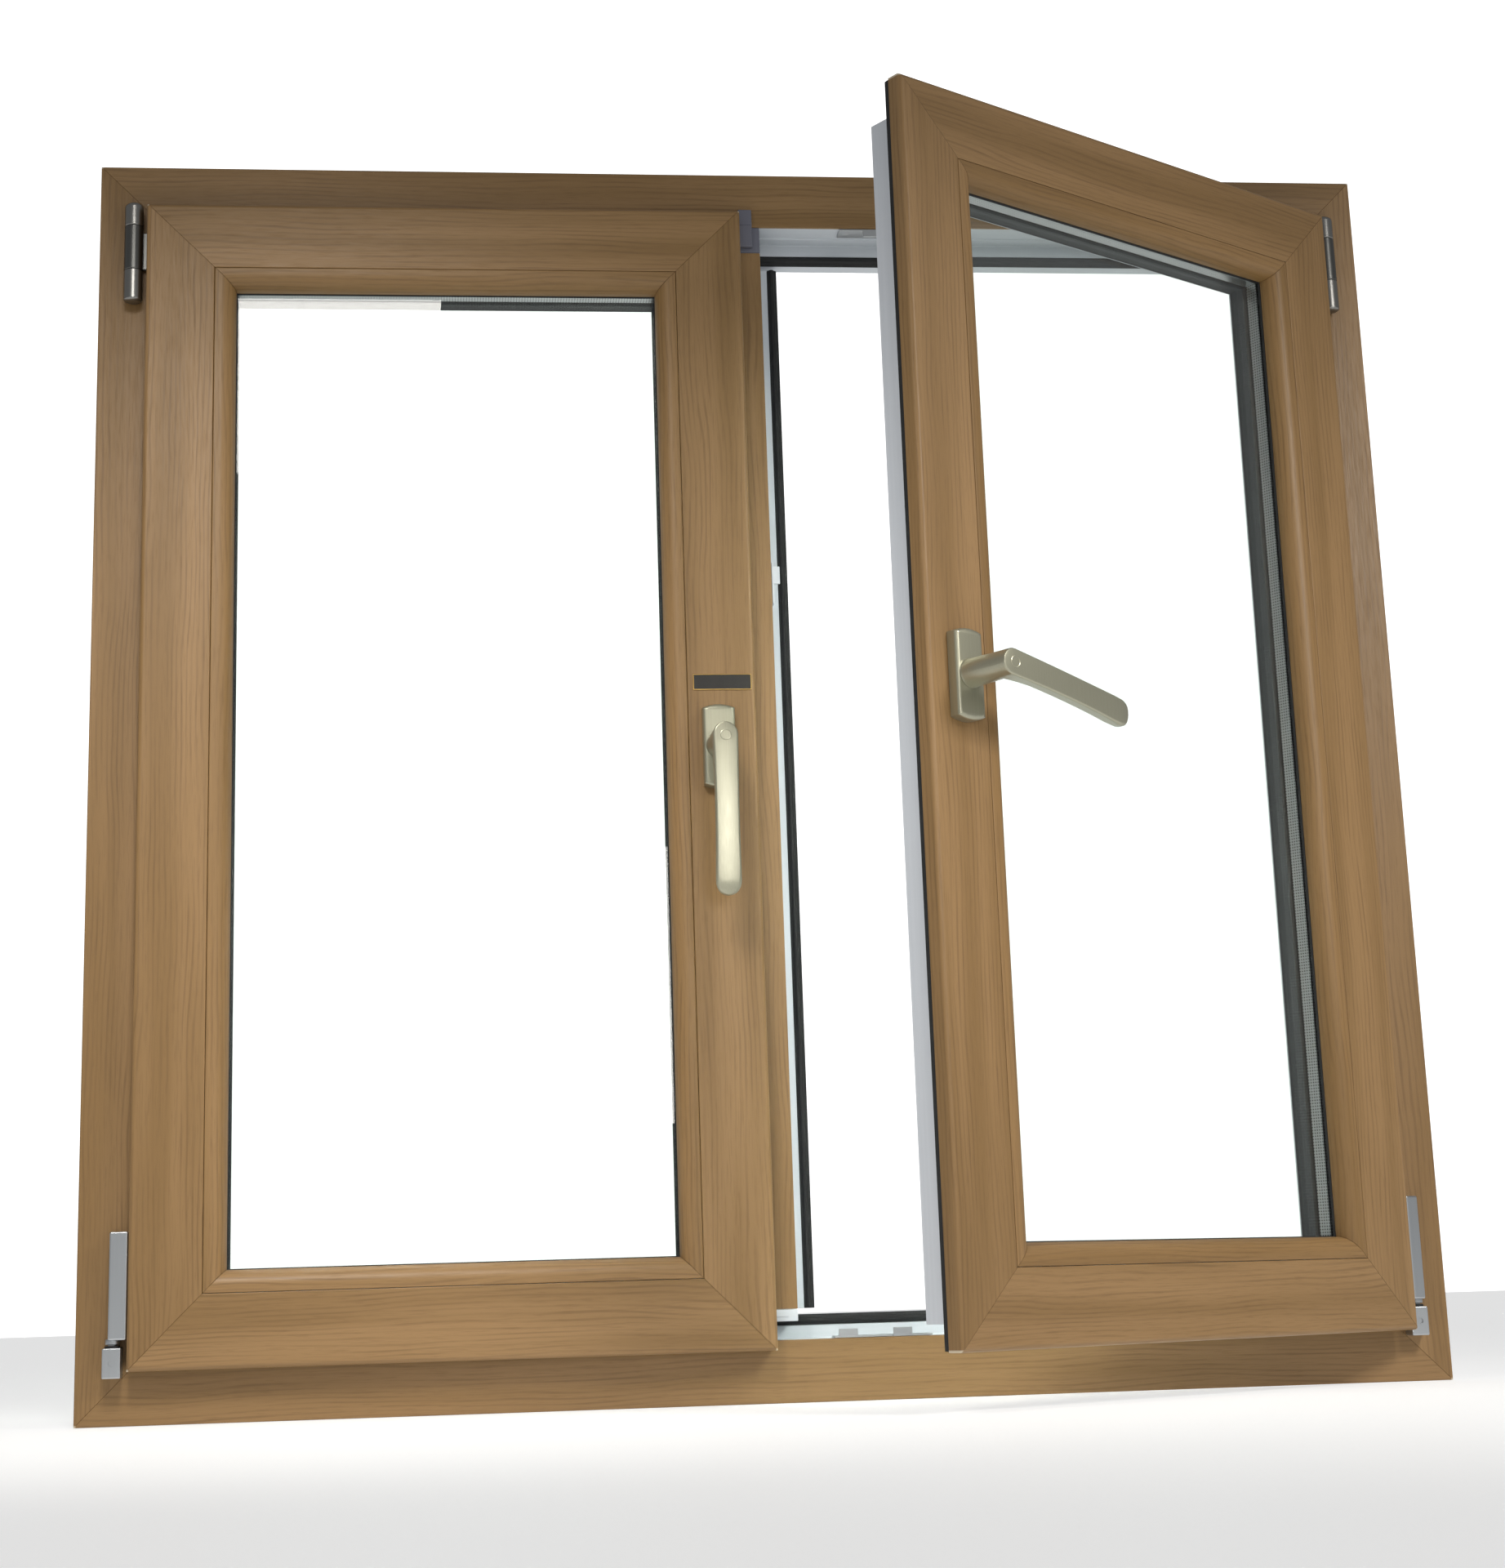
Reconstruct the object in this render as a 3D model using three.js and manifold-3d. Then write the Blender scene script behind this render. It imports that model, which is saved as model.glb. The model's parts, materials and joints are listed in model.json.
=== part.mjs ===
// A two-leaf casement window with an inward-opening pair of sashes and no fixed post between them.
// Millimetres. X runs along the window, Y runs from the room to outdoors, Z is up.
// The origin is on the underside of the frame's sill, midway along it and at mid-depth.
import * as THREE from "three";
import { mergeVertices } from "three/addons/utils/BufferGeometryUtils.js";
import Module from "manifold-3d";

const wasm = await Module();
wasm.setup();

// ---------- driving dimensions ----------
const FRAME_WIDTH = 1150;
const FRAME_HEIGHT = 1090;
const FRAME_DEPTH = 60;
const FRAME_FACE = 51; // width of the frame's room-side face
const LIP_WIDTH = 20; // outdoor stop lip, beyond that face
const LIP_THICKNESS = 18;
const FLANGE_OVERLAP = 8; // sash flange over the frame's face
const FLANGE_WIDTH = 20; // sash flange beyond the sash body
const FLANGE_THICKNESS = 15;
const FLANGE_STANDOFF = 6; // flange back to frame face, filled by the gasket
const SASH_FACE = 60; // sash face, from its edge to the bead joint
const BEAD_WIDTH = 18;
const BEAD_DEPTH = 17;
const SASH_DEPTH = 60;
const SASH_LIP = 15; // outdoor glazing lip of the sash
const EDGE_RADIUS = 4; // rounded front edge of the sash
const WALL = 3; // extrusion wall around the chambers
const LEFT_FREE_EDGE = -4; // x of the left sash's free edge
const RIGHT_FREE_EDGE = 8; // x of the right sash's free edge, when closed
const HINGE_INSET = 31; // hinge axis from the frame's outer edge
const HINGE_STANDOFF = 10; // hinge axis in front of the frame's face
const OPEN_ANGLE = THREE.MathUtils.degToRad(32); // the right sash as it stands at rest
const HANDLE_INSET = 34; // spindle from the sash's free edge
const HANDLE_Z = 550; // spindle above the frame's bottom
const RIGHT_LEVER_TURN = THREE.MathUtils.degToRad(78.5); // from straight down, at rest
const LOCK_TRAVEL = 19; // travel of the lock rods for a quarter turn of the handle
const GAP = 0.3; // running and fitting gap between separate pieces
const MITRE_GAP = 0.15; // each side of a welded mitre
const CUT_OVERRUN = 2; // how far a cutting core runs past the piece
const PANE = 5;
const CAVITY = 12;
const GLASS_EDGE = 65; // pane edge from the sash's outer edge
const SPACER_DEPTH = 8;

// ---------- planes and lines worked out from them ----------
const FACE_Y = -FRAME_DEPTH / 2;
const BACK_Y = FRAME_DEPTH / 2;
const LIP_Y = BACK_Y - LIP_THICKNESS;
const FLANGE_BACK_Y = FACE_Y - FLANGE_STANDOFF;
const SASH_FRONT_Y = FLANGE_BACK_Y - FLANGE_THICKNESS;
const SASH_BACK_Y = SASH_FRONT_Y + SASH_DEPTH;
const SASH_LIP_Y = SASH_BACK_Y - SASH_LIP;
const BEAD_BACK_Y = SASH_FRONT_Y + BEAD_DEPTH;
const SASH_INSET = FRAME_FACE - FLANGE_OVERLAP;
const DAYLIGHT = SASH_FACE + BEAD_WIDTH;
const GROOVE_Y = FLANGE_BACK_Y + 13; // centre line of the hardware groove
const HINGE_X = FRAME_WIDTH / 2 - HINGE_INSET;
const HINGE_Y = FACE_Y - HINGE_STANDOFF;
const LIP_TIP = FRAME_FACE + LIP_WIDTH;
const GASKET_SEAT = FRAME_FACE + 11; // where the lip steps back for its gasket
const GASKET_SEAT_Y = LIP_Y + 3;
const SASH_BOTTOM = SASH_INSET;
const SASH_TOP = FRAME_HEIGHT - SASH_INSET;
const GLASS_FRONT_Y = BEAD_BACK_Y + WALL;
const STULP_EDGE = RIGHT_FREE_EDGE + FLANGE_OVERLAP;
const STULP_BODY = LEFT_FREE_EDGE - FLANGE_WIDTH + GAP;

// ---------- finishes ----------
function finish(color, roughness, metalness) {
  return { color, roughness, metalness };
}
const FOIL = finish(0x94754d, 0.5, 0);
const FOIL_DARK = finish(0x8a6a44, 0.5, 0);
const BARE_PVC = finish(0xc9ccd0, 0.45, 0);
const CAP_PVC = finish(0x7f8494, 0.5, 0);
const RUBBER = finish(0x1b1b1c, 0.8, 0);
const GLASS = finish(0xdfe8e6, 0.05, 0);
const ALUMINIUM = finish(0xb9bcbd, 0.35, 1);
const STEEL = finish(0x8c8c88, 0.35, 1);
const ZINC = finish(0xa9abad, 0.4, 1);
const CHAMPAGNE = finish(0xc2b891, 0.35, 1);
const BADGE = finish(0x2a2620, 0.4, 0);

const parts = new THREE.Group();
const frameGroup = new THREE.Group();
const leftGroup = new THREE.Group();
const rightPivot = new THREE.Group();
const rightGroup = new THREE.Group();
parts.add(frameGroup, leftGroup, rightPivot);
rightPivot.add(rightGroup);
rightPivot.position.set(HINGE_X, HINGE_Y, 0);
rightPivot.rotation.z = OPEN_ANGLE;
rightGroup.position.set(-HINGE_X, -HINGE_Y, 0);

function add(group, name, geometry, look) {
  const material = new THREE.MeshStandardMaterial(look);
  const mesh = new THREE.Mesh(geometry, material);
  mesh.name = name;
  group.add(mesh);
  return mesh;
}

// ---------- shape helpers ----------
function welded(geometry) {
  const plain = geometry.clone();
  plain.deleteAttribute("normal");
  plain.deleteAttribute("uv");
  return mergeVertices(plain, 1e-4);
}

function signedVolume(geometry) {
  const p = geometry.attributes.position;
  const index = geometry.index.array;
  const a = new THREE.Vector3();
  const b = new THREE.Vector3();
  const c = new THREE.Vector3();
  let volume = 0;
  for (let i = 0; i < index.length; i += 3) {
    a.fromBufferAttribute(p, index[i]);
    b.fromBufferAttribute(p, index[i + 1]);
    c.fromBufferAttribute(p, index[i + 2]);
    volume += a.dot(b.cross(c)) / 6;
  }
  return volume;
}

// Faces of a mapped solid may come out reversed; this turns them outwards.
function facingOut(geometry) {
  const solid = welded(geometry);
  if (signedVolume(solid) < 0) {
    const index = solid.index.array;
    for (let i = 0; i < index.length; i += 3) {
      [index[i], index[i + 1]] = [index[i + 1], index[i]];
    }
  }
  return solid;
}

function mapped(geometry, place) {
  const p = geometry.attributes.position;
  for (let i = 0; i < p.count; i += 1) {
    const [x, y, z] = place(p.getX(i), p.getY(i), p.getZ(i));
    p.setXYZ(i, x, y, z);
  }
  return facingOut(geometry);
}

function outline(points) {
  return new THREE.Shape(points.map(([a, b]) => new THREE.Vector2(a, b)));
}

function rectangle(a0, a1, b0, b1) {
  return [[a0, b0], [a1, b0], [a1, b1], [a0, b1]];
}

function arc(a, b, radiusA, radiusB, fromDeg, toDeg, steps) {
  const made = [];
  for (let i = 0; i <= steps; i += 1) {
    const t = THREE.MathUtils.degToRad(fromDeg + ((toDeg - fromDeg) * i) / steps);
    made.push([a + radiusA * Math.cos(t), b + radiusB * Math.sin(t)]);
  }
  return made;
}

function extruded(points) {
  return new THREE.ExtrudeGeometry(outline(points), { depth: 1, bevelEnabled: false, steps: 1 });
}

// A section [inward, y] run along one side of a rectangle, its ends cut at 45 degrees.
// Each chamber is cut right through it, from mitre to mitre.
function side(which, rect, section, chambers = []) {
  const [x0, x1, z0, z1] = rect;
  const along = which === "top" || which === "bottom" ? x1 - x0 : z1 - z0;
  const placeWith = (endGap) => (inward, y, end) => {
    const s = end < 0.5 ? inward + endGap : along - inward - endGap;
    if (which === "bottom") return [x0 + s, y, z0 + inward];
    if (which === "top") return [x0 + s, y, z1 - inward];
    if (which === "left") return [x0 + inward, y, z0 + s];
    return [x1 - inward, y, z0 + s];
  };
  const bar = mapped(extruded(section), placeWith(MITRE_GAP));
  const cores = chambers.map((chamber) => mapped(extruded(chamber), placeWith(-CUT_OVERRUN)));
  return cores.length ? cut(bar, ...cores) : bar;
}

// A section [inward, y] run right round a rectangle as one closed ring.
function ring(rect, section) {
  const [x0, x1, z0, z1] = rect;
  const corners = [
    (u) => [x0 + u, z0 + u],
    (u) => [x1 - u, z0 + u],
    (u) => [x1 - u, z1 - u],
    (u) => [x0 + u, z1 - u],
  ];
  const position = [];
  corners.forEach((corner) => {
    section.forEach(([u, y]) => {
      const [x, z] = corner(u);
      position.push(x, y, z);
    });
  });
  const n = section.length;
  const index = [];
  for (let c = 0; c < corners.length; c += 1) {
    const next = (c + 1) % corners.length;
    for (let i = 0; i < n; i += 1) {
      const j = (i + 1) % n;
      index.push(c * n + i, c * n + j, next * n + j);
      index.push(c * n + i, next * n + j, next * n + i);
    }
  }
  const geometry = new THREE.BufferGeometry();
  geometry.setAttribute("position", new THREE.Float32BufferAttribute(position, 3));
  geometry.setIndex(index);
  return facingOut(geometry);
}

// A section in plan [x, y] run up from z0 to z1, with its chambers cut right through.
function upright(points, z0, z1, chambers = []) {
  const run = (outlinePoints, from, to) =>
    mapped(extruded(outlinePoints), (x, y, t) => [x, y, from + t * (to - from)]);
  const bar = run(points, z0, z1);
  const cores = chambers.map((chamber) => run(chamber, z0 - CUT_OVERRUN, z1 + CUT_OVERRUN));
  return cores.length ? cut(bar, ...cores) : bar;
}

function block(x0, x1, y0, y1, z0, z1) {
  const box = new THREE.BoxGeometry(x1 - x0, y1 - y0, z1 - z0);
  box.translate((x0 + x1) / 2, (y0 + y1) / 2, (z0 + z1) / 2);
  return box;
}

// A turned piece on a vertical axis: [radius, z] from the axis and back to it.
function turned(x, y, profile, sides = 24) {
  const lathe = new THREE.LatheGeometry(profile.map(([r, z]) => new THREE.Vector2(r, z)), sides);
  lathe.rotateX(Math.PI / 2);
  lathe.translate(x, y, 0);
  return lathe;
}

function rod(from, to, radius, sides = 20) {
  const a = new THREE.Vector3(...from);
  const b = new THREE.Vector3(...to);
  const cylinder = new THREE.CylinderGeometry(radius, radius, a.distanceTo(b), sides);
  const turn = new THREE.Quaternion();
  turn.setFromUnitVectors(new THREE.Vector3(0, 1, 0), b.clone().sub(a).normalize());
  cylinder.applyQuaternion(turn);
  cylinder.translate((a.x + b.x) / 2, (a.y + b.y) / 2, (a.z + b.z) / 2);
  return cylinder;
}

function solid(geometry) {
  const closed = facingOut(geometry);
  return new wasm.Manifold(new wasm.Mesh({
    numProp: 3,
    vertProperties: new Float32Array(closed.attributes.position.array),
    triVerts: new Uint32Array(closed.index.array),
  }));
}

function surface(manifold) {
  const mesh = manifold.getMesh();
  const geometry = new THREE.BufferGeometry();
  geometry.setAttribute("position", new THREE.BufferAttribute(mesh.vertProperties, 3));
  geometry.setIndex(new THREE.BufferAttribute(mesh.triVerts, 1));
  return geometry;
}

function joined(...geometries) {
  return surface(geometries.map(solid).reduce((sum, next) => sum.add(next)));
}

function cut(geometry, ...tools) {
  return surface(tools.map(solid).reduce((rest, tool) => rest.subtract(tool), solid(geometry)));
}

// ---------- profile sections, as [inward, y] ----------
const frameSection = [
  [0, FACE_Y],
  [FRAME_FACE, FACE_Y],
  [FRAME_FACE, LIP_Y],
  [GASKET_SEAT, LIP_Y],
  [GASKET_SEAT, GASKET_SEAT_Y],
  [LIP_TIP, GASKET_SEAT_Y],
  [LIP_TIP, BACK_Y - 2],
  [LIP_TIP - 2, BACK_Y],
  [0, BACK_Y],
];
const frameChambers = [
  rectangle(WALL, FRAME_FACE - WALL, FACE_Y + WALL, LIP_Y - WALL),
  rectangle(WALL, FRAME_FACE - WALL, LIP_Y, BACK_Y - WALL),
  rectangle(FRAME_FACE, LIP_TIP - WALL, GASKET_SEAT_Y + WALL, BACK_Y - WALL),
];
const frameGasketSection = [
  [GASKET_SEAT + GAP, GASKET_SEAT_Y - GAP],
  [GASKET_SEAT + GAP, LIP_Y - 1],
  [GASKET_SEAT + 4, SASH_BACK_Y + GAP],
  [GASKET_SEAT + 6, SASH_BACK_Y + GAP],
  [LIP_TIP, LIP_Y],
  [LIP_TIP, GASKET_SEAT_Y - GAP],
];
const BODY_EDGE = FLANGE_WIDTH;
const PLATE_FLOOR = BODY_EDGE + 3; // recess for the lock's faceplate
const ROD_FLOOR = PLATE_FLOOR + 2.5; // deeper recess for the sliding rod
const sashSection = [
  [0, FLANGE_BACK_Y],
  ...arc(EDGE_RADIUS, SASH_FRONT_Y + EDGE_RADIUS, EDGE_RADIUS, EDGE_RADIUS, 180, 270, 4),
  [SASH_FACE - GAP, SASH_FRONT_Y],
  [SASH_FACE - GAP, SASH_LIP_Y],
  [DAYLIGHT, SASH_LIP_Y],
  [DAYLIGHT, SASH_BACK_Y - 2],
  [DAYLIGHT - 2, SASH_BACK_Y],
  [BODY_EDGE, SASH_BACK_Y],
  [BODY_EDGE, GROOVE_Y + 8],
  [PLATE_FLOOR, GROOVE_Y + 8],
  [PLATE_FLOOR, GROOVE_Y + 6],
  [ROD_FLOOR, GROOVE_Y + 6],
  [ROD_FLOOR, GROOVE_Y - 6],
  [PLATE_FLOOR, GROOVE_Y - 6],
  [PLATE_FLOOR, GROOVE_Y - 8],
  [BODY_EDGE, GROOVE_Y - 8],
  [BODY_EDGE, FLANGE_BACK_Y],
];
const MAIN_CHAMBER = ROD_FLOOR + 2.5;
const sashChambers = [
  rectangle(EDGE_RADIUS, BODY_EDGE + 2, SASH_FRONT_Y + WALL, FLANGE_BACK_Y - WALL),
  rectangle(MAIN_CHAMBER, SASH_FACE - WALL, SASH_FRONT_Y + WALL, SASH_BACK_Y - WALL),
  rectangle(SASH_FACE, DAYLIGHT - WALL, SASH_LIP_Y + WALL, SASH_BACK_Y - WALL),
];
const beadSection = [
  [SASH_FACE, BEAD_BACK_Y],
  [SASH_FACE, SASH_FRONT_Y],
  ...arc(SASH_FACE + 5, BEAD_BACK_Y - 2, BEAD_WIDTH - 5, BEAD_DEPTH - 2, 270, 360, 6),
  [DAYLIGHT, BEAD_BACK_Y],
];
const overlapGasketSection = rectangle(4.7, 7.9, FLANGE_BACK_Y + GAP, FACE_Y - GAP);
const GLASS_BACK_Y = GLASS_FRONT_Y + 2 * PANE + CAVITY;
const spacerSection = rectangle(
  DAYLIGHT - 1 - SPACER_DEPTH,
  DAYLIGHT - 1,
  GLASS_FRONT_Y + PANE + GAP,
  GLASS_BACK_Y - PANE - GAP,
);
const outerGlazingSection = rectangle(
  GLASS_EDGE + 3,
  DAYLIGHT,
  GLASS_BACK_Y + GAP,
  SASH_LIP_Y - GAP,
);

// ---------- fixed frame ----------
const frameRect = [-FRAME_WIDTH / 2, FRAME_WIDTH / 2, 0, FRAME_HEIGHT];
const frameSides = {
  frame_head: "top",
  frame_sill: "bottom",
  frame_jamb_left: "left",
  frame_jamb_right: "right",
};
for (const [name, which] of Object.entries(frameSides)) {
  add(frameGroup, name, side(which, frameRect, frameSection, frameChambers), FOIL);
}
add(frameGroup, "frame_gasket", ring(frameRect, frameGasketSection), RUBBER);

// ---------- hinges ----------
const BARREL_RADIUS = 8.2;
const PIN_RADIUS = 3;
const UPPER_KNUCKLES = { bottom: 957, leafBottom: 987, leafTop: 1028, top: 1051 };
const LUG_EDGE = 12 - GAP; // lug reach from the axis to the sash flange's edge

// The frame's bracket: two knuckles on one pin, each with a foot on the frame's face.
function upperBracket(x) {
  const { bottom, leafBottom, leafTop, top } = UPPER_KNUCKLES;
  const turnedBody = turned(x, HINGE_Y, [
    [0, bottom],
    [BARREL_RADIUS - 2, bottom],
    [BARREL_RADIUS, bottom + 2],
    [BARREL_RADIUS, leafBottom - GAP],
    [PIN_RADIUS, leafBottom - GAP],
    [PIN_RADIUS, leafTop + GAP],
    [BARREL_RADIUS, leafTop + GAP],
    [BARREL_RADIUS, top - 6],
    [BARREL_RADIUS - 2.5, top - 1.5],
    [0, top],
  ]);
  const feet = [[bottom + 3, leafBottom - 3], [leafTop + 3, top - 7]].map(([z0, z1]) =>
    block(x - 5, x + 5, HINGE_Y, FACE_Y - GAP, z0, z1));
  return joined(turnedBody, ...feet);
}

// The sash's leaf: a bored knuckle with a lug that meets the flange's edge.
function upperLeaf(x, inward) {
  const { leafBottom, leafTop } = UPPER_KNUCKLES;
  const reach = [x + inward * 4, x + inward * LUG_EDGE].sort((a, b) => a - b);
  const lug = block(reach[0], reach[1], HINGE_Y - 6, HINGE_Y + 2, leafBottom + 3, leafTop - 3);
  const knuckle = turned(x, HINGE_Y, [
    [0, leafBottom],
    [BARREL_RADIUS, leafBottom],
    [BARREL_RADIUS, leafTop],
    [0, leafTop],
  ]);
  const bore = rod([x, HINGE_Y, leafBottom - 1], [x, HINGE_Y, leafTop + 1], PIN_RADIUS + GAP, 24);
  return cut(joined(knuckle, lug), bore);
}

const LOWER = { cupBottom: 38, cupTop: 62, barBottom: 68, barTop: 154, pinBottom: 44 };

// The frame's lower bearing: a blind-bored cup with a foot on the frame's face.
function lowerBearing(x) {
  const cup = block(x - 7.5, x + 7.5, HINGE_Y - 7.5, FACE_Y - GAP, LOWER.cupBottom, LOWER.cupTop);
  const bore = rod([x, HINGE_Y, LOWER.pinBottom - 1], [x, HINGE_Y, LOWER.cupTop + 1], 4, 24);
  return cut(cup, bore);
}

// The sash's lower leaf: a cover bar on the flange's edge, with the pivot pin under it.
function lowerLeaf(x, inward) {
  const edges = [x - inward * 3, x + inward * LUG_EDGE].sort((a, b) => a - b);
  const bar = block(edges[0], edges[1], HINGE_Y - 9, HINGE_Y + 6, LOWER.barBottom, LOWER.barTop);
  const pin = rod([x, HINGE_Y, LOWER.pinBottom], [x, HINGE_Y, LOWER.barBottom + 4], 3.6, 24);
  return joined(bar, pin);
}

for (const [name, sign] of [["left", -1], ["right", 1]]) {
  const sashGroup = name === "left" ? leftGroup : rightGroup;
  const x = sign * HINGE_X;
  add(frameGroup, `upper_hinge_bracket_${name}`, upperBracket(x), STEEL);
  add(sashGroup, `upper_hinge_leaf_${name}`, upperLeaf(x, -sign), STEEL);
  add(frameGroup, `lower_hinge_bearing_${name}`, lowerBearing(x), ZINC);
  add(sashGroup, `lower_hinge_leaf_${name}`, lowerLeaf(x, -sign), ZINC);
}

// ---------- sashes ----------
const SPINDLE_RADIUS = 4.2;
const SPINDLE_BORE = SPINDLE_RADIUS + 0.6;
const leftRect = [-FRAME_WIDTH / 2 + SASH_INSET, LEFT_FREE_EDGE, SASH_BOTTOM, SASH_TOP];
const rightRect = [RIGHT_FREE_EDGE, FRAME_WIDTH / 2 - SASH_INSET, SASH_BOTTOM, SASH_TOP];
const LEFT_SPINDLE_X = LEFT_FREE_EDGE - HANDLE_INSET;
const RIGHT_SPINDLE_X = RIGHT_FREE_EDGE + HANDLE_INSET;

function spindleHole(x) {
  return rod([x, SASH_FRONT_Y - 1, HANDLE_Z], [x, SASH_FRONT_Y + 6, HANDLE_Z], SPINDLE_BORE + 1);
}

function pane(rect, y0) {
  const [x0, x1, z0, z1] = rect;
  return block(
    x0 + GLASS_EDGE,
    x1 - GLASS_EDGE,
    y0,
    y0 + PANE,
    z0 + GLASS_EDGE,
    z1 - GLASS_EDGE,
  );
}

function sash(group, name, rect, meeting, spindleX) {
  const hinged = meeting === "right" ? "left" : "right";
  const sides = { top_rail: "top", bottom_rail: "bottom", hinge_stile: hinged, meeting_stile: meeting };
  for (const [piece, which] of Object.entries(sides)) {
    const plain = side(which, rect, sashSection, sashChambers);
    const made = piece === "meeting_stile" ? cut(plain, spindleHole(spindleX)) : plain;
    add(group, `${name}_${piece}`, made, FOIL);
  }
  const beads = { bead_top: "top", bead_bottom: "bottom", bead_hinge: hinged, bead_meeting: meeting };
  for (const [piece, which] of Object.entries(beads)) {
    add(group, `${name}_${piece}`, side(which, rect, beadSection), FOIL_DARK);
  }
  add(group, `${name}_overlap_gasket`, ring(rect, overlapGasketSection), RUBBER);
  add(group, `${name}_pane_inner`, pane(rect, GLASS_FRONT_Y), GLASS);
  add(group, `${name}_pane_outer`, pane(rect, GLASS_BACK_Y - PANE), GLASS);
  add(group, `${name}_glass_spacer`, ring(rect, spacerSection), ALUMINIUM);
  add(group, `${name}_glazing_gasket`, ring(rect, outerGlazingSection), RUBBER);
}
sash(leftGroup, "left_sash", leftRect, "right", LEFT_SPINDLE_X);
sash(rightGroup, "right_sash", rightRect, "left", RIGHT_SPINDLE_X);

// ---------- floating mullion on the left sash ----------
const STULP_BOTTOM = 76;
const STULP_TOP = FRAME_HEIGHT - STULP_BOTTOM;
const STULP_TIP = STULP_EDGE + LIP_WIDTH;
const STULP_SEAT = STULP_EDGE + 11;
const stulpSection = [
  [STULP_BODY, FACE_Y],
  [STULP_EDGE, FACE_Y],
  [STULP_EDGE, LIP_Y],
  [STULP_SEAT, LIP_Y],
  [STULP_SEAT, GASKET_SEAT_Y],
  [STULP_TIP, GASKET_SEAT_Y],
  [STULP_TIP, BACK_Y - 2],
  [STULP_TIP - 2, BACK_Y],
  [STULP_BODY - LIP_WIDTH + 2, BACK_Y],
  [STULP_BODY - LIP_WIDTH, BACK_Y - 2],
  [STULP_BODY - LIP_WIDTH, SASH_BACK_Y + GAP],
  [STULP_BODY, SASH_BACK_Y + GAP],
];
const stulpChambers = [
  rectangle(STULP_BODY + WALL, STULP_EDGE - WALL, FACE_Y + WALL, LIP_Y - WALL),
  rectangle(STULP_BODY + WALL, STULP_EDGE - WALL, LIP_Y, BACK_Y - WALL),
  rectangle(STULP_EDGE, STULP_TIP - WALL, GASKET_SEAT_Y + WALL, BACK_Y - WALL),
];
const stulpGasketSection = [
  [STULP_SEAT + GAP, GASKET_SEAT_Y - GAP],
  [STULP_SEAT + GAP, LIP_Y - 1],
  [STULP_SEAT + 4, SASH_BACK_Y + GAP],
  [STULP_SEAT + 6, SASH_BACK_Y + GAP],
  [STULP_TIP, LIP_Y],
  [STULP_TIP, GASKET_SEAT_Y - GAP],
];
add(
  leftGroup,
  "floating_mullion",
  upright(stulpSection, STULP_BOTTOM, STULP_TOP, stulpChambers),
  FOIL,
);
add(leftGroup, "mullion_gasket", upright(stulpGasketSection, STULP_BOTTOM, STULP_TOP), RUBBER);

// The top cap fills the rebate under the frame's head, and its plate lies over the head's face.
const CAP_PLATE_RIGHT = RIGHT_FREE_EDGE + 4.2;
add(
  leftGroup,
  "mullion_cap_top",
  joined(
    block(
      STULP_BODY,
      STULP_EDGE,
      FACE_Y,
      SASH_BACK_Y,
      STULP_TOP + GAP,
      FRAME_HEIGHT - FRAME_FACE - GAP,
    ),
    block(
      LEFT_FREE_EDGE + GAP,
      CAP_PLATE_RIGHT,
      FLANGE_BACK_Y + GAP,
      FACE_Y - GAP,
      STULP_TOP + 4,
      FRAME_HEIGHT - FRAME_FACE + 15,
    ),
    block(
      LEFT_FREE_EDGE + GAP,
      CAP_PLATE_RIGHT,
      FACE_Y - 2,
      FACE_Y + 4,
      STULP_TOP + 4,
      FRAME_HEIGHT - FRAME_FACE - 4,
    ),
  ),
  CAP_PVC,
);
add(
  leftGroup,
  "mullion_cap_bottom",
  block(STULP_BODY, STULP_EDGE, FACE_Y, SASH_BACK_Y, STULP_BOTTOM - 10, STULP_BOTTOM - GAP),
  BARE_PVC,
);

// ---------- locks ----------
const CAM_RADIUS = 4;
const CAM_REACH = 9; // cam beyond the sash body's edge
const ROD_HALF_WIDTH = 5;
const ROD_INNER = ROD_FLOOR - GAP;
const ROD_OUTER = PLATE_FLOOR + GAP;
const KEEPER_PLATE = 1.7;
const KEEPER_HEIGHT = 7.5;
const HOOK_LENGTH = 16;
const GEARBOX_HALF_HEIGHT = 55;
const ROD_END = 75; // rod end from the sash's edge

// Right sash: one flat rod in the meeting stile, one in each rail, all driven by the handle.
const STILE_CAM_Z = 691;
const HEAD_CAM_X = 101;
const SILL_CAM_X = [77, 123];
const bodyLeft = RIGHT_FREE_EDGE + BODY_EDGE;
add(
  rightGroup,
  "lock_rod_stile",
  joined(
    block(
      RIGHT_FREE_EDGE + ROD_OUTER,
      RIGHT_FREE_EDGE + ROD_INNER,
      GROOVE_Y - ROD_HALF_WIDTH,
      GROOVE_Y + ROD_HALF_WIDTH,
      SASH_BOTTOM + ROD_END,
      SASH_TOP - ROD_END - LOCK_TRAVEL,
    ),
    rod(
      [bodyLeft - CAM_REACH, GROOVE_Y, STILE_CAM_Z],
      [RIGHT_FREE_EDGE + ROD_INNER - 1, GROOVE_Y, STILE_CAM_Z],
      CAM_RADIUS,
    ),
  ),
  STEEL,
);

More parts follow.
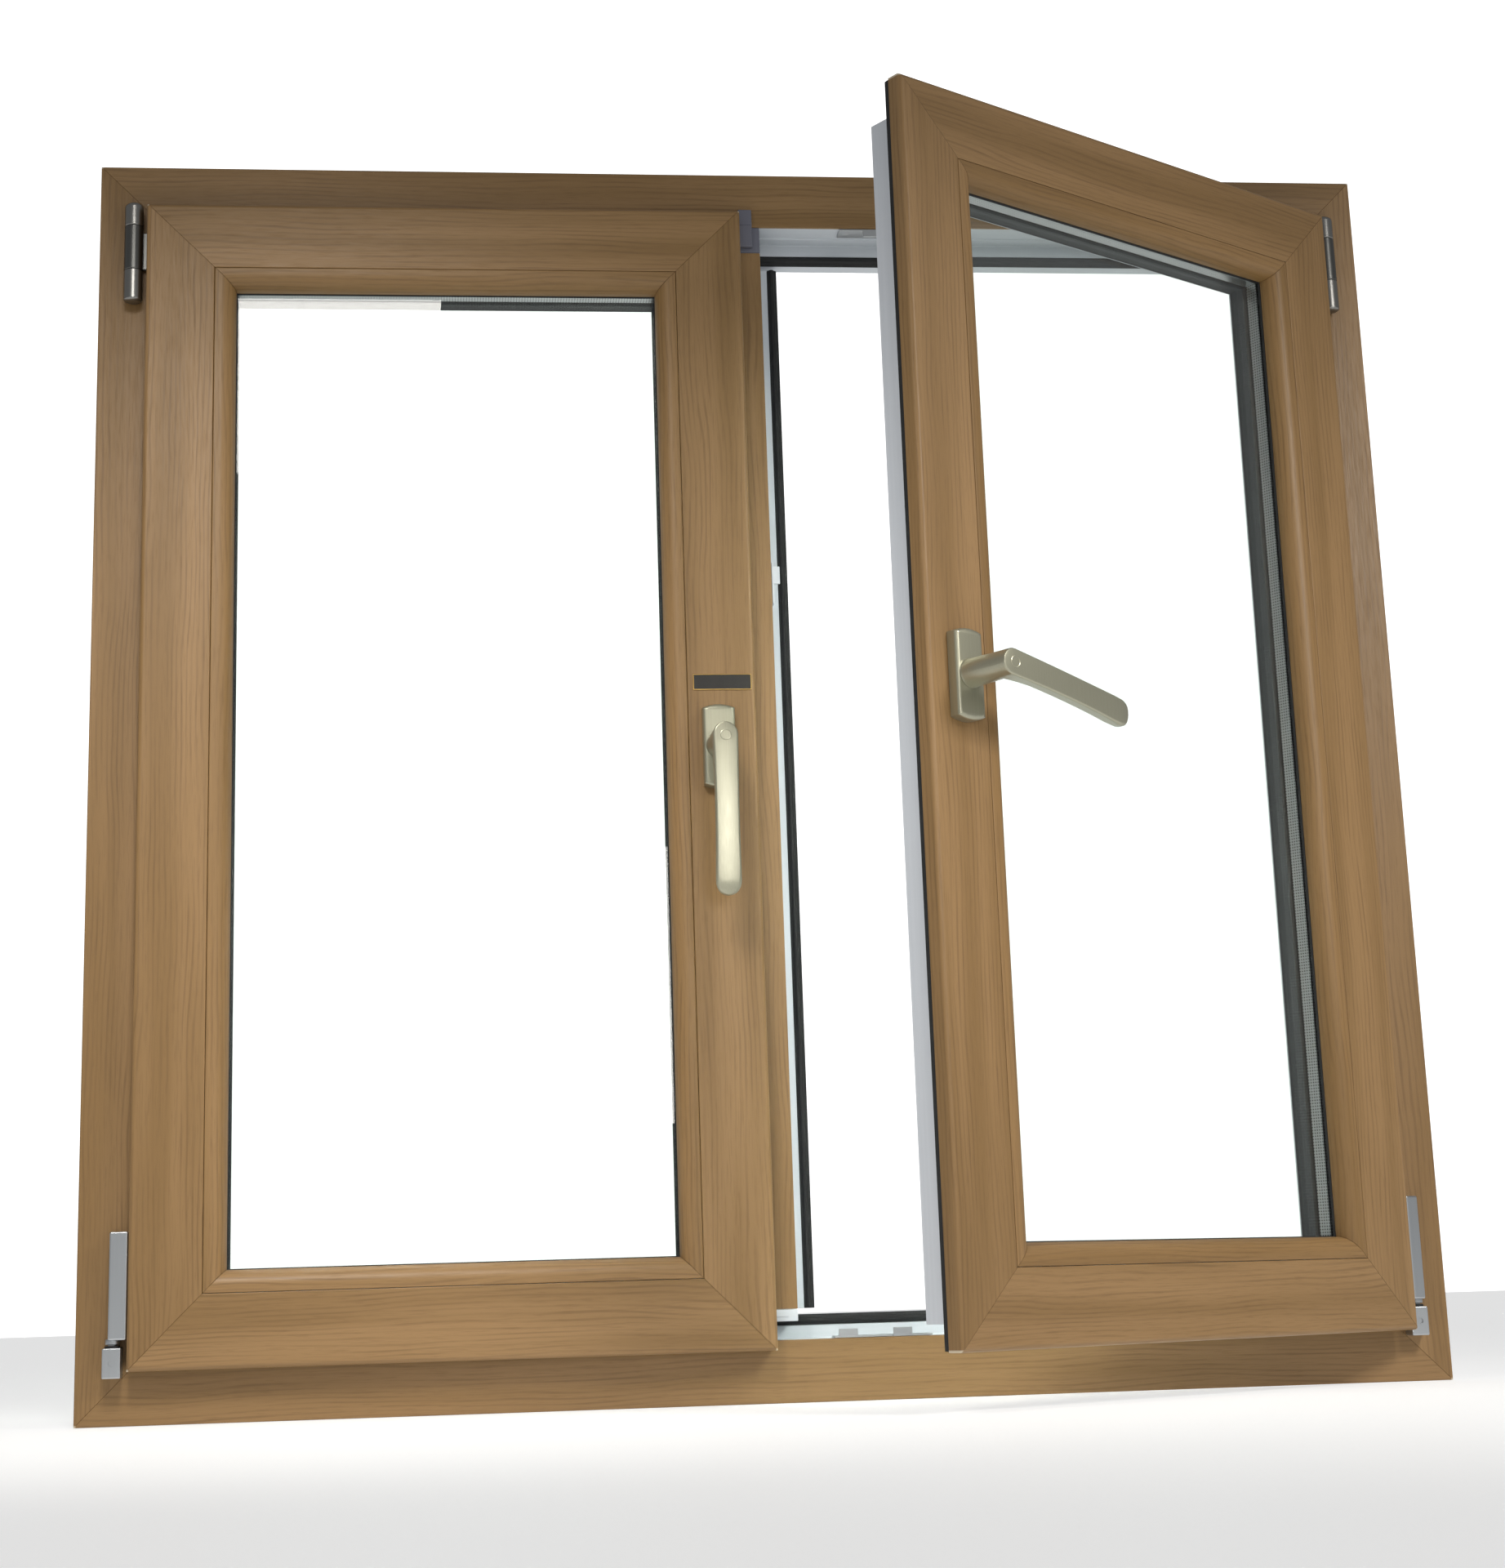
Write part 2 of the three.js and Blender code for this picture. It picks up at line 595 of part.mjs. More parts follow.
function railRod(edgeZ, inward, xFrom, xTo, camXs) {
  const flat = [edgeZ + inward * ROD_OUTER, edgeZ + inward * ROD_INNER].sort((a, b) => a - b);
  const strip = block(
    xFrom,
    xTo,
    GROOVE_Y - ROD_HALF_WIDTH,
    GROOVE_Y + ROD_HALF_WIDTH,
    flat[0],
    flat[1],
  );
  const cams = camXs.map((x) => rod(
    [x, GROOVE_Y, edgeZ + inward * (BODY_EDGE - CAM_REACH)],
    [x, GROOVE_Y, edgeZ + inward * (ROD_INNER - 1)],
    CAM_RADIUS,
  ));
  return joined(strip, ...cams);
}
add(rightGroup, "lock_rod_top", railRod(SASH_TOP, -1, 64, 300, [HEAD_CAM_X]), STEEL);
add(rightGroup, "lock_rod_bottom", railRod(SASH_BOTTOM, 1, 64, 300, SILL_CAM_X), STEEL);

// Left sash: an upper and a lower bolt that the handle draws back into the stile.
const leftBody = LEFT_FREE_EDGE - ROD_INNER;
const leftSlot = LEFT_FREE_EDGE - ROD_OUTER;
function stileBolt(z0, z1) {
  return block(leftBody, leftSlot, GROOVE_Y - ROD_HALF_WIDTH, GROOVE_Y + ROD_HALF_WIDTH, z0, z1);
}
const BOLT_REACH = 9;
const BOLT_ROOT = GEARBOX_HALF_HEIGHT + LOCK_TRAVEL + 6;
add(
  leftGroup,
  "bolt_upper",
  stileBolt(HANDLE_Z + BOLT_ROOT, SASH_TOP - BODY_EDGE + BOLT_REACH),
  STEEL,
);
add(
  leftGroup,
  "bolt_lower",
  stileBolt(SASH_BOTTOM + BODY_EDGE - BOLT_REACH, HANDLE_Z - BOLT_ROOT),
  STEEL,
);

// A gearbox stands in the stile's chamber behind each handle.
function gearbox(x, inward) {
  const near = MAIN_CHAMBER - HANDLE_INSET + GAP;
  const far = near + 18;
  const edges = [x + inward * near, x + inward * far].sort((a, b) => a - b);
  const box = block(
    edges[0],
    edges[1],
    SASH_FRONT_Y + 8,
    SASH_FRONT_Y + 38,
    HANDLE_Z - GEARBOX_HALF_HEIGHT,
    HANDLE_Z + GEARBOX_HALF_HEIGHT,
  );
  const bore = rod([x, SASH_FRONT_Y, HANDLE_Z], [x, SASH_FRONT_Y + 40, HANDLE_Z], SPINDLE_BORE);
  return cut(box, bore);
}
add(leftGroup, "gearbox_left", gearbox(LEFT_SPINDLE_X, -1), ZINC);
add(rightGroup, "gearbox_right", gearbox(RIGHT_SPINDLE_X, 1), ZINC);

// Keepers: a plate on the rebate wall and short hooks that a cam slides behind.
const HOOK_Y = [FACE_Y + 0.5, GROOVE_Y - CAM_RADIUS - 0.5];
const PLATE_Y = [FACE_Y + 0.5, GROOVE_Y + 11];

function lyingKeeper(wallZ, inward, x0, x1, hooksAt) {
  const level = (height) => wallZ + inward * height;
  const span = (a, b) => [level(a), level(b)].sort((p, q) => p - q);
  const [p0, p1] = span(GAP, GAP + KEEPER_PLATE);
  const [h0, h1] = span(GAP + KEEPER_PLATE / 2, KEEPER_HEIGHT);
  const plate = block(x0, x1, PLATE_Y[0], PLATE_Y[1], p0, p1);
  const hooks = hooksAt.map((x) => block(x, x + HOOK_LENGTH, HOOK_Y[0], HOOK_Y[1], h0, h1));
  return joined(plate, ...hooks);
}
const headZ = FRAME_HEIGHT - FRAME_FACE;
add(frameGroup, "head_keeper", lyingKeeper(headZ, -1, 90, 129, [112]), ZINC);
add(frameGroup, "sill_keeper", lyingKeeper(FRAME_FACE, 1, 46, 129, [50, 96]), ZINC);

const STULP_KEEPER = { bottom: 684, top: 722, hook: 702 };
add(
  leftGroup,
  "mullion_keeper",
  joined(
    block(
      STULP_EDGE + GAP,
      STULP_EDGE + GAP + KEEPER_PLATE,
      PLATE_Y[0],
      PLATE_Y[1],
      STULP_KEEPER.bottom,
      STULP_KEEPER.top,
    ),
    block(
      STULP_EDGE + GAP + KEEPER_PLATE / 2,
      STULP_EDGE + KEEPER_HEIGHT,
      HOOK_Y[0],
      HOOK_Y[1],
      STULP_KEEPER.hook,
      STULP_KEEPER.hook + HOOK_LENGTH,
    ),
  ),
  BARE_PVC,
);

// Bolt plates for the left sash's bolts, on the head and on the sill.
function boltPlate(wallZ, inward) {
  const level = [wallZ + inward * GAP, wallZ + inward * 2.2].sort((a, b) => a - b);
  const plate = block(leftBody - 8, STULP_BODY - 1.5, PLATE_Y[0], PLATE_Y[1], level[0], level[1]);
  const mouth = block(leftBody - 1, leftSlot + 1, GROOVE_Y - 6, GROOVE_Y + 6, level[0] - 1, level[1] + 1);
  return cut(plate, mouth);
}
add(frameGroup, "bolt_plate_head", boltPlate(headZ, -1), ZINC);
add(frameGroup, "bolt_plate_sill", boltPlate(FRAME_FACE, 1), ZINC);

// ---------- handles ----------
const ROSE = { width: 28, height: 73, thickness: 11, crown: 3 };
const LEVER_LENGTH = 136; // spindle to the lever's tip
const NECK_LENGTH = 40; // rose to the lever's middle line
const ELBOW = { radius: 10.8, front: 48.4 }; // round neck, up to the lever's flat front

// The rose's ends are shallow arcs, and its front edge is chamfered by a stepped outline.
function roseOutline(x, inset) {
  const half = ROSE.width / 2 - inset;
  const straight = ROSE.height / 2 - ROSE.crown - inset;
  const top = arc(0, straight, half, ROSE.crown, 0, 180, 8);
  const bottom = arc(0, -straight, half, ROSE.crown, 180, 360, 8);
  return [...top, ...bottom].map(([a, b]) => [x + a, HANDLE_Z + b]);
}

function rose(x) {
  const plate = (inset, y0, y1) =>
    mapped(extruded(roseOutline(x, inset)), (a, b, t) => [a, y0 + t * (y1 - y0), b]);
  const front = SASH_FRONT_Y - ROSE.thickness;
  const body = joined(
    plate(0, front + 3, SASH_FRONT_Y - GAP),
    plate(1.5, front, front + 4),
  );
  const bore = rod([x, front - 1, HANDLE_Z], [x, SASH_FRONT_Y + 1, HANDLE_Z], SPINDLE_BORE + 1);
  return cut(body, bore);
}
add(leftGroup, "handle_rose_left", rose(LEFT_SPINDLE_X), CHAMPAGNE);
add(rightGroup, "handle_rose_right", rose(RIGHT_SPINDLE_X), CHAMPAGNE);

// Stations down the lever's middle line: [outward, down, width, thickness].
const leverStations = [
  [GAP, 0, 22, 23],
  [8, 0, 21, 22],
  [18, 0.5, 21, 22],
  [28, 1.5, 21, 23],
  [36, 6, 22, 20],
  [40, 16, 22, 15],
  [NECK_LENGTH + 1, 34, 21, 12],
  [NECK_LENGTH, 60, 20, 11],
  [NECK_LENGTH - 3, 90, 20, 11],
  [NECK_LENGTH - 8, 116, 21, 11],
  [NECK_LENGTH - 11, LEVER_LENGTH - 7, 20, 10],
  [NECK_LENGTH - 13, LEVER_LENGTH - 1, 13, 6],
];

function lever() {
  const sidesOfSection = 20;
  const position = [];
  leverStations.forEach(([out, down, width, thickness], i) => {
    const before = leverStations[Math.max(i - 1, 0)];
    const after = leverStations[Math.min(i + 1, leverStations.length - 1)];
    const along = new THREE.Vector2(after[0] - before[0], after[1] - before[1]).normalize();
    for (let k = 0; k < sidesOfSection; k += 1) {
      const t = (2 * Math.PI * k) / sidesOfSection;
      const across = (width / 2) * Math.cos(t);
      const through = (thickness / 2) * Math.sin(t);
      const y = -(out - along.y * through);
      const z = -(down + along.x * through);
      position.push(across, y, z);
    }
  });
  const count = leverStations.length;
  const index = [];
  for (let s = 0; s + 1 < count; s += 1) {
    for (let k = 0; k < sidesOfSection; k += 1) {
      const next = (k + 1) % sidesOfSection;
      const a = s * sidesOfSection + k;
      const b = s * sidesOfSection + next;
      index.push(a, b, b + sidesOfSection, a, b + sidesOfSection, a + sidesOfSection);
    }
  }
  for (let k = 1; k + 1 < sidesOfSection; k += 1) {
    const last = (count - 1) * sidesOfSection;
    index.push(0, k + 1, k);
    index.push(last, last + k, last + k + 1);
  }
  const grip = new THREE.BufferGeometry();
  grip.setAttribute("position", new THREE.Float32BufferAttribute(position, 3));
  grip.setIndex(index);
  const spindle = rod([0, -4, 0], [0, ROSE.thickness + 34, 0], SPINDLE_RADIUS, 8);
  const neck = rod([0, -GAP, 0], [0, -ELBOW.front, 0], ELBOW.radius);
  return joined(grip, neck, spindle);
}

function placedLever(group, name, x, turn) {
  const mesh = add(group, name, lever(), CHAMPAGNE);
  mesh.position.set(x, SASH_FRONT_Y - ROSE.thickness, HANDLE_Z);
  mesh.rotation.y = turn;
}
placedLever(leftGroup, "handle_lever_left", LEFT_SPINDLE_X, 0);
placedLever(rightGroup, "handle_lever_right", RIGHT_SPINDLE_X, -RIGHT_LEVER_TURN);

// ---------- blank badge above the left handle ----------
const BADGE_SIZE = { width: 51, height: 14, thickness: 0.9, shift: 4.7, rise: 58 };
add(
  leftGroup,
  "blank_badge",
  block(
    LEFT_SPINDLE_X + BADGE_SIZE.shift - BADGE_SIZE.width / 2,
    LEFT_SPINDLE_X + BADGE_SIZE.shift + BADGE_SIZE.width / 2,
    SASH_FRONT_Y - BADGE_SIZE.thickness - GAP,
    SASH_FRONT_Y - GAP,
    HANDLE_Z + BADGE_SIZE.rise - BADGE_SIZE.height / 2,
    HANDLE_Z + BADGE_SIZE.rise + BADGE_SIZE.height / 2,
  ),
  BADGE,
);

export default parts;
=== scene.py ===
# %% [markdown]
# # A two-leaf casement window, in plastic profile with an oak foil
#
# A window like this is put together from long, hollow PVC profiles that are cut at 45 degrees, welded at
# the corners and covered on the room side with a printed foil. Everything else is bought in: sealed
# glass units, rubber seals, hinges, a lock that runs round the leaf's edge, and two lever handles.
# The design model holds the sizes, the places and the joints. This script starts from it and remakes
# each visible piece with the fine shape and the finish of the real one.

# %% Load the design model
import json
import math
import random

import bmesh
import bpy
from mathutils import Matrix, Vector

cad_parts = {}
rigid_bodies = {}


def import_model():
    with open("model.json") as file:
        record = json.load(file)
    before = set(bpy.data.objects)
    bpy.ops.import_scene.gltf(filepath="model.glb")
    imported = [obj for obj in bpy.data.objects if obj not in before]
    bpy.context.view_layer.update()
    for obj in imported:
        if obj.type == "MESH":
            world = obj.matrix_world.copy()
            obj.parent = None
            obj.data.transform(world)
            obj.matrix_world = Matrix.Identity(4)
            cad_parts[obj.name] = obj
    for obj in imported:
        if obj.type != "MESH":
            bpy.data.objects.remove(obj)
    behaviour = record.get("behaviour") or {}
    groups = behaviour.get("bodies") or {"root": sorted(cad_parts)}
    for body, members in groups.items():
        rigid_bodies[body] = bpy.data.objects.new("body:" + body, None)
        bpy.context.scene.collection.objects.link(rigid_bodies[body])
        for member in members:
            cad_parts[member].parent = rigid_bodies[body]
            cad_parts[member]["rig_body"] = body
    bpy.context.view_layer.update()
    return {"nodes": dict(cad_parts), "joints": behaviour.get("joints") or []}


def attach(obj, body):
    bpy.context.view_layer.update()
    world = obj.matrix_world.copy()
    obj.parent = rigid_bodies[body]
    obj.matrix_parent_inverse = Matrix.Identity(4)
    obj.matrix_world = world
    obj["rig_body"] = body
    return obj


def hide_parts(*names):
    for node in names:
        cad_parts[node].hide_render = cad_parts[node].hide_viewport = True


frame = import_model()
joints = {joint["name"]: joint for joint in frame["joints"]}
print("pieces in the design model:", len(frame["nodes"]))

# %% [markdown]
# ## One unit, and the open leaf
#
# Profiles are drawn in millimetres, so the helpers below take millimetres and turn them to metres once,
# when a mesh is made. The right leaf stands open. Square pieces are far easier to think about, so it is
# built shut, and each of its meshes is swung round the hinge axis afterwards, by the angle that the
# hinge's own limits give.

# %% Units and the swing of the right leaf
MM = 0.001
OPEN_BODIES = ("right_sash", "right_handle", "stile_rod", "top_rod", "bottom_rod")
hinge = joints["right_sash_hinge"]
hinge_axis = Matrix.Translation(Vector(hinge["pos_m"]))
open_angle = math.radians(-hinge["range_deg"][0])
SWING = hinge_axis @ Matrix.Rotation(open_angle, 4, "Z") @ hinge_axis.inverted()


def swing_of(body):
    """The turn that takes a piece built on a shut window to where its body is at rest."""
    return SWING if body in OPEN_BODIES else Matrix.Identity(4)


def shut_box(node):
    """Lowest and highest corner of a design node on the shut window, in millimetres."""
    unswing = swing_of(frame["nodes"][node]["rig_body"]).inverted()
    corners = [unswing @ vertex.co / MM for vertex in frame["nodes"][node].data.vertices]
    return [Vector(pick(corner[axis] for corner in corners) for axis in range(3)) for pick in (min, max)]


print("the right leaf stands open by", round(math.degrees(open_angle), 1), "degrees")

# %% [markdown]
# ## Driving sizes
#
# Every section below hangs on a few faces: the frame's room side and back, the leaf's front and back,
# and the outlines of the frame and of the two leaves. They are read from the design model, so a change
# there carries through. A rectangle is (left, right, bottom, top).

# %% Read the driving faces and outlines
FACE_Y, BACK_Y = (round(corner.y, 2) for corner in shut_box("frame_sill"))
LEAF_FRONT_Y, LEAF_BACK_Y = (round(corner.y, 2) for corner in shut_box("left_sash_bottom_rail"))


def outline_of(owner, left, right, bottom, top):
    """The rectangle that four mitred members make."""
    low_x, low_z = shut_box(owner + left)[0].x, shut_box(owner + bottom)[0].z
    high_x, high_z = shut_box(owner + right)[1].x, shut_box(owner + top)[1].z
    return tuple(round(place, 2) for place in (low_x, high_x, low_z, high_z))


FRAME_RECT = outline_of("frame_", "jamb_left", "jamb_right", "sill", "head")
LEAF_RECTS = {
    "left_sash": outline_of("left_sash_", "hinge_stile", "meeting_stile", "bottom_rail", "top_rail"),
    "right_sash": outline_of("right_sash_", "meeting_stile", "hinge_stile", "bottom_rail", "top_rail"),
}
print("frame", FRAME_RECT, "leaves", LEAF_RECTS)

# %% [markdown]
# ## Camera
#
# The window is seen from the room, from a little left of its middle and from just above its sill, with
# the lens tipped up. A longer lens keeps the uprights nearly parallel. The small shifts move the
# picture on the film without turning the camera, as a view camera's rising front does.

# %% Set up the camera
camera_data = bpy.data.cameras.new("room_side_view")
camera_data.lens = 60.8
camera_data.sensor_width = 36
camera_data.shift_x = 0.0234
camera_data.shift_y = -0.0567
camera = bpy.data.objects.new("room_side_view", camera_data)
camera.location = (-0.2776, -2.2787, 0.0909)
camera.rotation_euler = (math.radians(102.72), math.radians(1.72), math.radians(-5.72))
bpy.context.scene.collection.objects.link(camera)
bpy.context.scene.camera = camera
print("camera", tuple(round(place, 3) for place in camera.location))

# %% [markdown]
# ## Light
#
# Satin foil and lacquered handles need soft light, because a small lamp would leave hard spots on them.
# Two soft panels hang high in front, one for each leaf, and look down at its lower half. A honeycomb
# grid keeps their light in a cone, so the head stays darker than the stiles, and each leaf throws a
# soft shadow on the sill. A third, weak one hangs where the left lever mirrors it. A pale room lights
# everything else. The room shows white behind the glass: the Light Path node lets the backdrop be
# brighter than the light that it gives, but only for a ray that has met nothing except glass.

# %% Soft panels and a pale room
WARM = (1.0, 0.97, 0.93)
ROOM_GLOW = 0.27
BACKDROP = 1.35


def soft_panel(name, place, aim, size, watts, cone):
    """A square lamp at place that faces aim, in metres, whose grid lets light out in that cone."""
    lamp = bpy.data.lights.new(name, "AREA")
    lamp.size = size
    lamp.spread = math.radians(cone)
    lamp.energy = watts
    lamp.color = WARM
    panel = bpy.data.objects.new(name, lamp)
    panel.location = place
    panel.rotation_euler = (Vector(aim) - Vector(place)).to_track_quat("-Z", "Y").to_euler()
    panel.visible_camera = False
    bpy.context.scene.collection.objects.link(panel)


soft_panel("left_gridded_panel", (-0.45, -0.95, 1.25), (-0.4, 0, 0.12), 0.35, 2.5, 76)
soft_panel("right_gridded_panel", (1.0, -1.25, 1.2), (0.35, -0.15, 0.12), 0.35, 3.2, 78)
soft_panel("lever_panel", (0.1, -1.6, 0.53), (-0.04, 0, 0.5), 0.4, 0.34, 50)


def add_node(tree, kind, inputs=None, **settings):
    """Adds a node with its settings; an input is either a plain value or the socket that feeds it."""
    made = tree.nodes.new(kind)
    for name, value in settings.items():
        setattr(made, name, value)
    for name, value in (inputs or {}).items():
        if isinstance(value, bpy.types.NodeSocket):
            tree.links.new(value, made.inputs[name])
        else:
            made.inputs[name].default_value = value
    return made


def outcome(tree, operation, first, second):
    """The outcome of one operation on two numbers."""
    return add_node(tree, "ShaderNodeMath", {0: first, 1: second}, operation=operation).outputs[0]


room = bpy.data.worlds.new("pale_room")
room.use_nodes = True
tree = room.node_tree
tree.nodes.clear()
ray = add_node(tree, "ShaderNodeLightPath").outputs
through_glass = outcome(tree, "MAXIMUM", ray["Is Camera Ray"], ray["Is Transmission Ray"])
bounces = outcome(tree, "ADD", ray["Diffuse Depth"], ray["Glossy Depth"])
backdrop = outcome(tree, "MULTIPLY", through_glass, outcome(tree, "LESS_THAN", bounces, 0.5))
white = add_node(tree, "ShaderNodeBackground", {"Color": (1, 1, 1, 1), "Strength": BACKDROP})
glow = add_node(tree, "ShaderNodeBackground", {"Color": (0.97, 0.98, 1, 1), "Strength": ROOM_GLOW})
either = add_node(tree, "ShaderNodeMixShader", {0: backdrop, 1: glow.outputs[0], 2: white.outputs[0]})
add_node(tree, "ShaderNodeOutputWorld", {"Surface": either.outputs[0]})
bpy.context.scene.world = room
bpy.context.scene.view_settings.view_transform = "Standard"

# %% [markdown]
# ## Colour, and how a pattern finds its way along a piece
#
# Colours are written as they look on a screen (sRGB hex), and one function turns them to the linear
# values that a shader works with. Patterns need a sense of direction: foil grain runs along each
# profile, whichever way that profile lies. Each mesh therefore carries an attribute called grain, with
# the distance along the piece, the distance round its section, and a number of its own, in metres.
# A second one, mitre, holds the distance from each welded end and from the profile's outer edge.

# %% Helpers for finishes
def hex_colour(text):
    """sRGB hex to a linear colour with alpha."""
    shares = [int(text[i:i + 2], 16) / 255 for i in (0, 2, 4)]
    linear = [s / 12.92 if s <= 0.04045 else ((s + 0.055) / 1.055) ** 2.4 for s in shares]
    return (*linear, 1.0)


def new_finish(name, colour, roughness, others):
    """A material with one Principled shader, its tree and that shader."""
    finish = bpy.data.materials.new(name)
    finish.use_nodes = True
    finish.diffuse_color = hex_colour(colour)
    shader = finish.node_tree.nodes["Principled BSDF"]
    for setting, value in {"Base Color": hex_colour(colour), "Roughness": roughness, **others}.items():
        shader.inputs[setting].default_value = value
    return finish, finish.node_tree, shader


def stretched(tree, along_mm, across_mm):
    """Grain coordinates in which one unit is so many millimetres along and across the piece."""
    grain = add_node(tree, "ShaderNodeAttribute", attribute_name="grain").outputs["Vector"]
    scale = (1000 / along_mm, 1000 / across_mm, 1)
    return add_node(tree, "ShaderNodeMapping", {"Vector": grain, "Scale": scale}).outputs[0]


def noise(tree, along_mm, across_mm, detail=2.0, roughness=0.5):
    """Soft random marks of that size."""
    size = stretched(tree, along_mm, across_mm)
    inputs = {"Vector": size, "Scale": 1.0, "Detail": detail, "Roughness": roughness}
    return add_node(tree, "ShaderNodeTexNoise", inputs).outputs[0]


def ramp(tree, value, low, high, start=0.0, end=1.0, kind="LINEAR"):
    """Start where the value is low, end where it is high, and between them in between."""
    inputs = {"Value": value, "From Min": low, "From Max": high, "To Min": start, "To Max": end}
    return add_node(tree, "ShaderNodeMapRange", inputs, interpolation_type=kind).outputs[0]


def blend(tree, share, first, second):
    """A colour that goes from the first to the second as the share grows."""
    return add_node(tree, "ShaderNodeMix", {0: share, 6: first, 7: second}, data_type="RGBA").outputs[2]


def dress(tree, shader, colour, gloss, height, strength, depth_mm, invert=False):
    """Feeds a shader its colour, its gloss and a relief of that depth."""
    inputs = {"Height": height, "Strength": strength, "Distance": depth_mm * MM}
    relief = add_node(tree, "ShaderNodeBump", inputs, invert=invert).outputs[0]
    for name, socket in (("Base Color", colour), ("Roughness", gloss), ("Normal", relief)):
        tree.links.new(socket, shader.inputs[name])


print("oak at full light:", [round(share, 3) for share in hex_colour("94744B")[:3]])

# %% [markdown]
# ## Oak foil
#
# The foil is a printed and embossed PVC film, about 0.2 mm thick, laminated on the white profile. The
# print shows plain-sawn oak: broad soft bands, wandering year lines 4 to 5 mm apart that close into
# flames, and short dark pores. An image could carry the print, but a procedural one has no edges and
# no repeats. Real pores are 0.3 mm wide; here they are drawn 1 mm wide, so that they show.
# The weld at a mitre is milled off and its edge coloured with a touch-up pen, which leaves a thin dark
# line, and at the leaf's outermost corners a speck of pale PVC shows through.

# %% Foil finish
PORE_WIDTH = 1.0
PORE_LENGTH = 20
LINE_SPACING = 4.6
WAVE_PERIOD = 0.314  # the wave texture's own period, in its units
PEN_LINE = 0.5


def oak_foil(name, light, dark, line):
    """Satin printed film: soft bands, year lines, pores, and a pen line at the welded mitres."""
    finish, tree, shader = new_finish(name, light, 0.46, {"IOR": 1.48})
    bands = ramp(tree, noise(tree, 520, 30), 0.32, 0.68, kind="SMOOTHSTEP")
    colour = blend(tree, bands, hex_colour(light), hex_colour(dark))
    waves = {
        "Vector": stretched(tree, 70, LINE_SPACING / WAVE_PERIOD),
        "Scale": 1.0,
        "Distortion": 15.0,
        "Detail": 2.0,
        "Detail Scale": 0.35,
        "Detail Roughness": 0.4,
    }
    year = add_node(tree, "ShaderNodeTexWave", waves, wave_type="BANDS", bands_direction="Y")
    thin = ramp(tree, year.outputs["Fac"], 0.5, 1.0, kind="SMOOTHSTEP")
    strength = ramp(tree, noise(tree, 90, 11), 0.35, 0.65, end=0.36)
    colour = blend(tree, outcome(tree, "MULTIPLY", thin, strength), colour, hex_colour(line))
    pores = noise(tree, PORE_LENGTH, PORE_WIDTH, roughness=0.6)
    colour = blend(tree, ramp(tree, pores, 0.52, 0.75, end=0.26), colour, hex_colour(line))
    mitre = add_node(tree, "ShaderNodeAttribute", attribute_name="mitre").outputs["Vector"]
    ends = add_node(tree, "ShaderNodeSeparateXYZ", {0: mitre}).outputs
    nearest = outcome(tree, "MINIMUM", ends[0], ends[1])
    pen = ramp(tree, nearest, PEN_LINE * 0.4 * MM, PEN_LINE * MM, 0.35, 0.0)
    colour = blend(tree, pen, colour, hex_colour("60482E"))
    bare = ramp(tree, outcome(tree, "ADD", nearest, ends[2]), 1.2 * MM, 2.2 * MM, 0.8, 0.0)
    colour = blend(tree, bare, colour, hex_colour("D9CDB6"))
    gloss = ramp(tree, pores, 0.3, 0.75, 0.42, 0.56)
    dress(tree, shader, colour, gloss, pores, 0.25, 0.12, invert=True)
    return finish


FOIL = oak_foil("oak_foil_on_profile", "94744B", "82643B", "5A3F20")
BEAD_FOIL = oak_foil("oak_foil_on_bead", "917147", "7F6137", "573C1E")
print("foils:", FOIL.name, BEAD_FOIL.name)

# %% [markdown]
# ## Bare PVC, moulded caps and rubber
#
# PVC comes out of the extruder smooth, with faint die lines along its length, so its finish is a cool
# white with long, very shallow streaks. The caps at the ends of the floating mullion are injection
# moulded and spark-eroded, which gives an even, fine matt. The seals are EPDM, a rubber that comes out
# of its die matt and nearly black.

# %% White PVC, cap plastic, EPDM and edge sealant
def streaked_plastic(name, light, dark, roughness, along, across, height):
    """Extruded or moulded plastic with a faint pattern of that size, in millimetres."""
    finish, tree, shader = new_finish(name, light, roughness, {"IOR": 1.53})
    streaks = noise(tree, along, across, 3.0)
    tone = blend(tree, streaks, hex_colour(light), hex_colour(dark))
    gloss = ramp(tree, streaks, 0.0, 1.0, roughness - 0.05, roughness + 0.07)
    dress(tree, shader, tone, gloss, streaks, 0.2, height)
    return finish


WHITE_PVC = streaked_plastic("bare_white_pvc", "D3D7DD", "C6CBD1", 0.36, 220, 3.5, 0.05)
CAP_PLASTIC = streaked_plastic("moulded_cap_grey", "6B6C78", "60616D", 0.48, 1.2, 1.2, 0.03)
EPDM = streaked_plastic("epdm_rubber", "151617", "0E0F10", 0.7, 60, 1.5, 0.04)
SEALANT = streaked_plastic("edge_sealant", "17181A", "0F1011", 0.5, 9, 4, 0.12)
print("plastics:", WHITE_PVC.name, CAP_PLASTIC.name, EPDM.name, SEALANT.name)

# %% [markdown]
# ## Float glass
#
# Float glass is flat and clear, with a faint green cast that shows only at its cut edge. Cycles sends no
# lamp light through a glass shader, so a plain glass would throw a black shadow on the frame behind it.
# A Transparent shader is mixed in for shadow rays only, which lets the lamps through.

# %% Glass finish
CLEAR = {"IOR": 1.45, "Transmission Weight": 1.0}
GLASS, tree, shader = new_finish("clear_float_glass", "FBFEFC", 0.0, CLEAR)
shadow = add_node(tree, "ShaderNodeLightPath").outputs["Is Shadow Ray"]
through = add_node(tree, "ShaderNodeBsdfTransparent", {"Color": hex_colour("F2F6F4")}).outputs[0]
mixed = add_node(tree, "ShaderNodeMixShader", {0: shadow, 1: shader.outputs[0], 2: through})
tree.links.new(mixed.outputs[0], tree.nodes["Material Output"].inputs["Surface"])
print("glass:", GLASS.name)

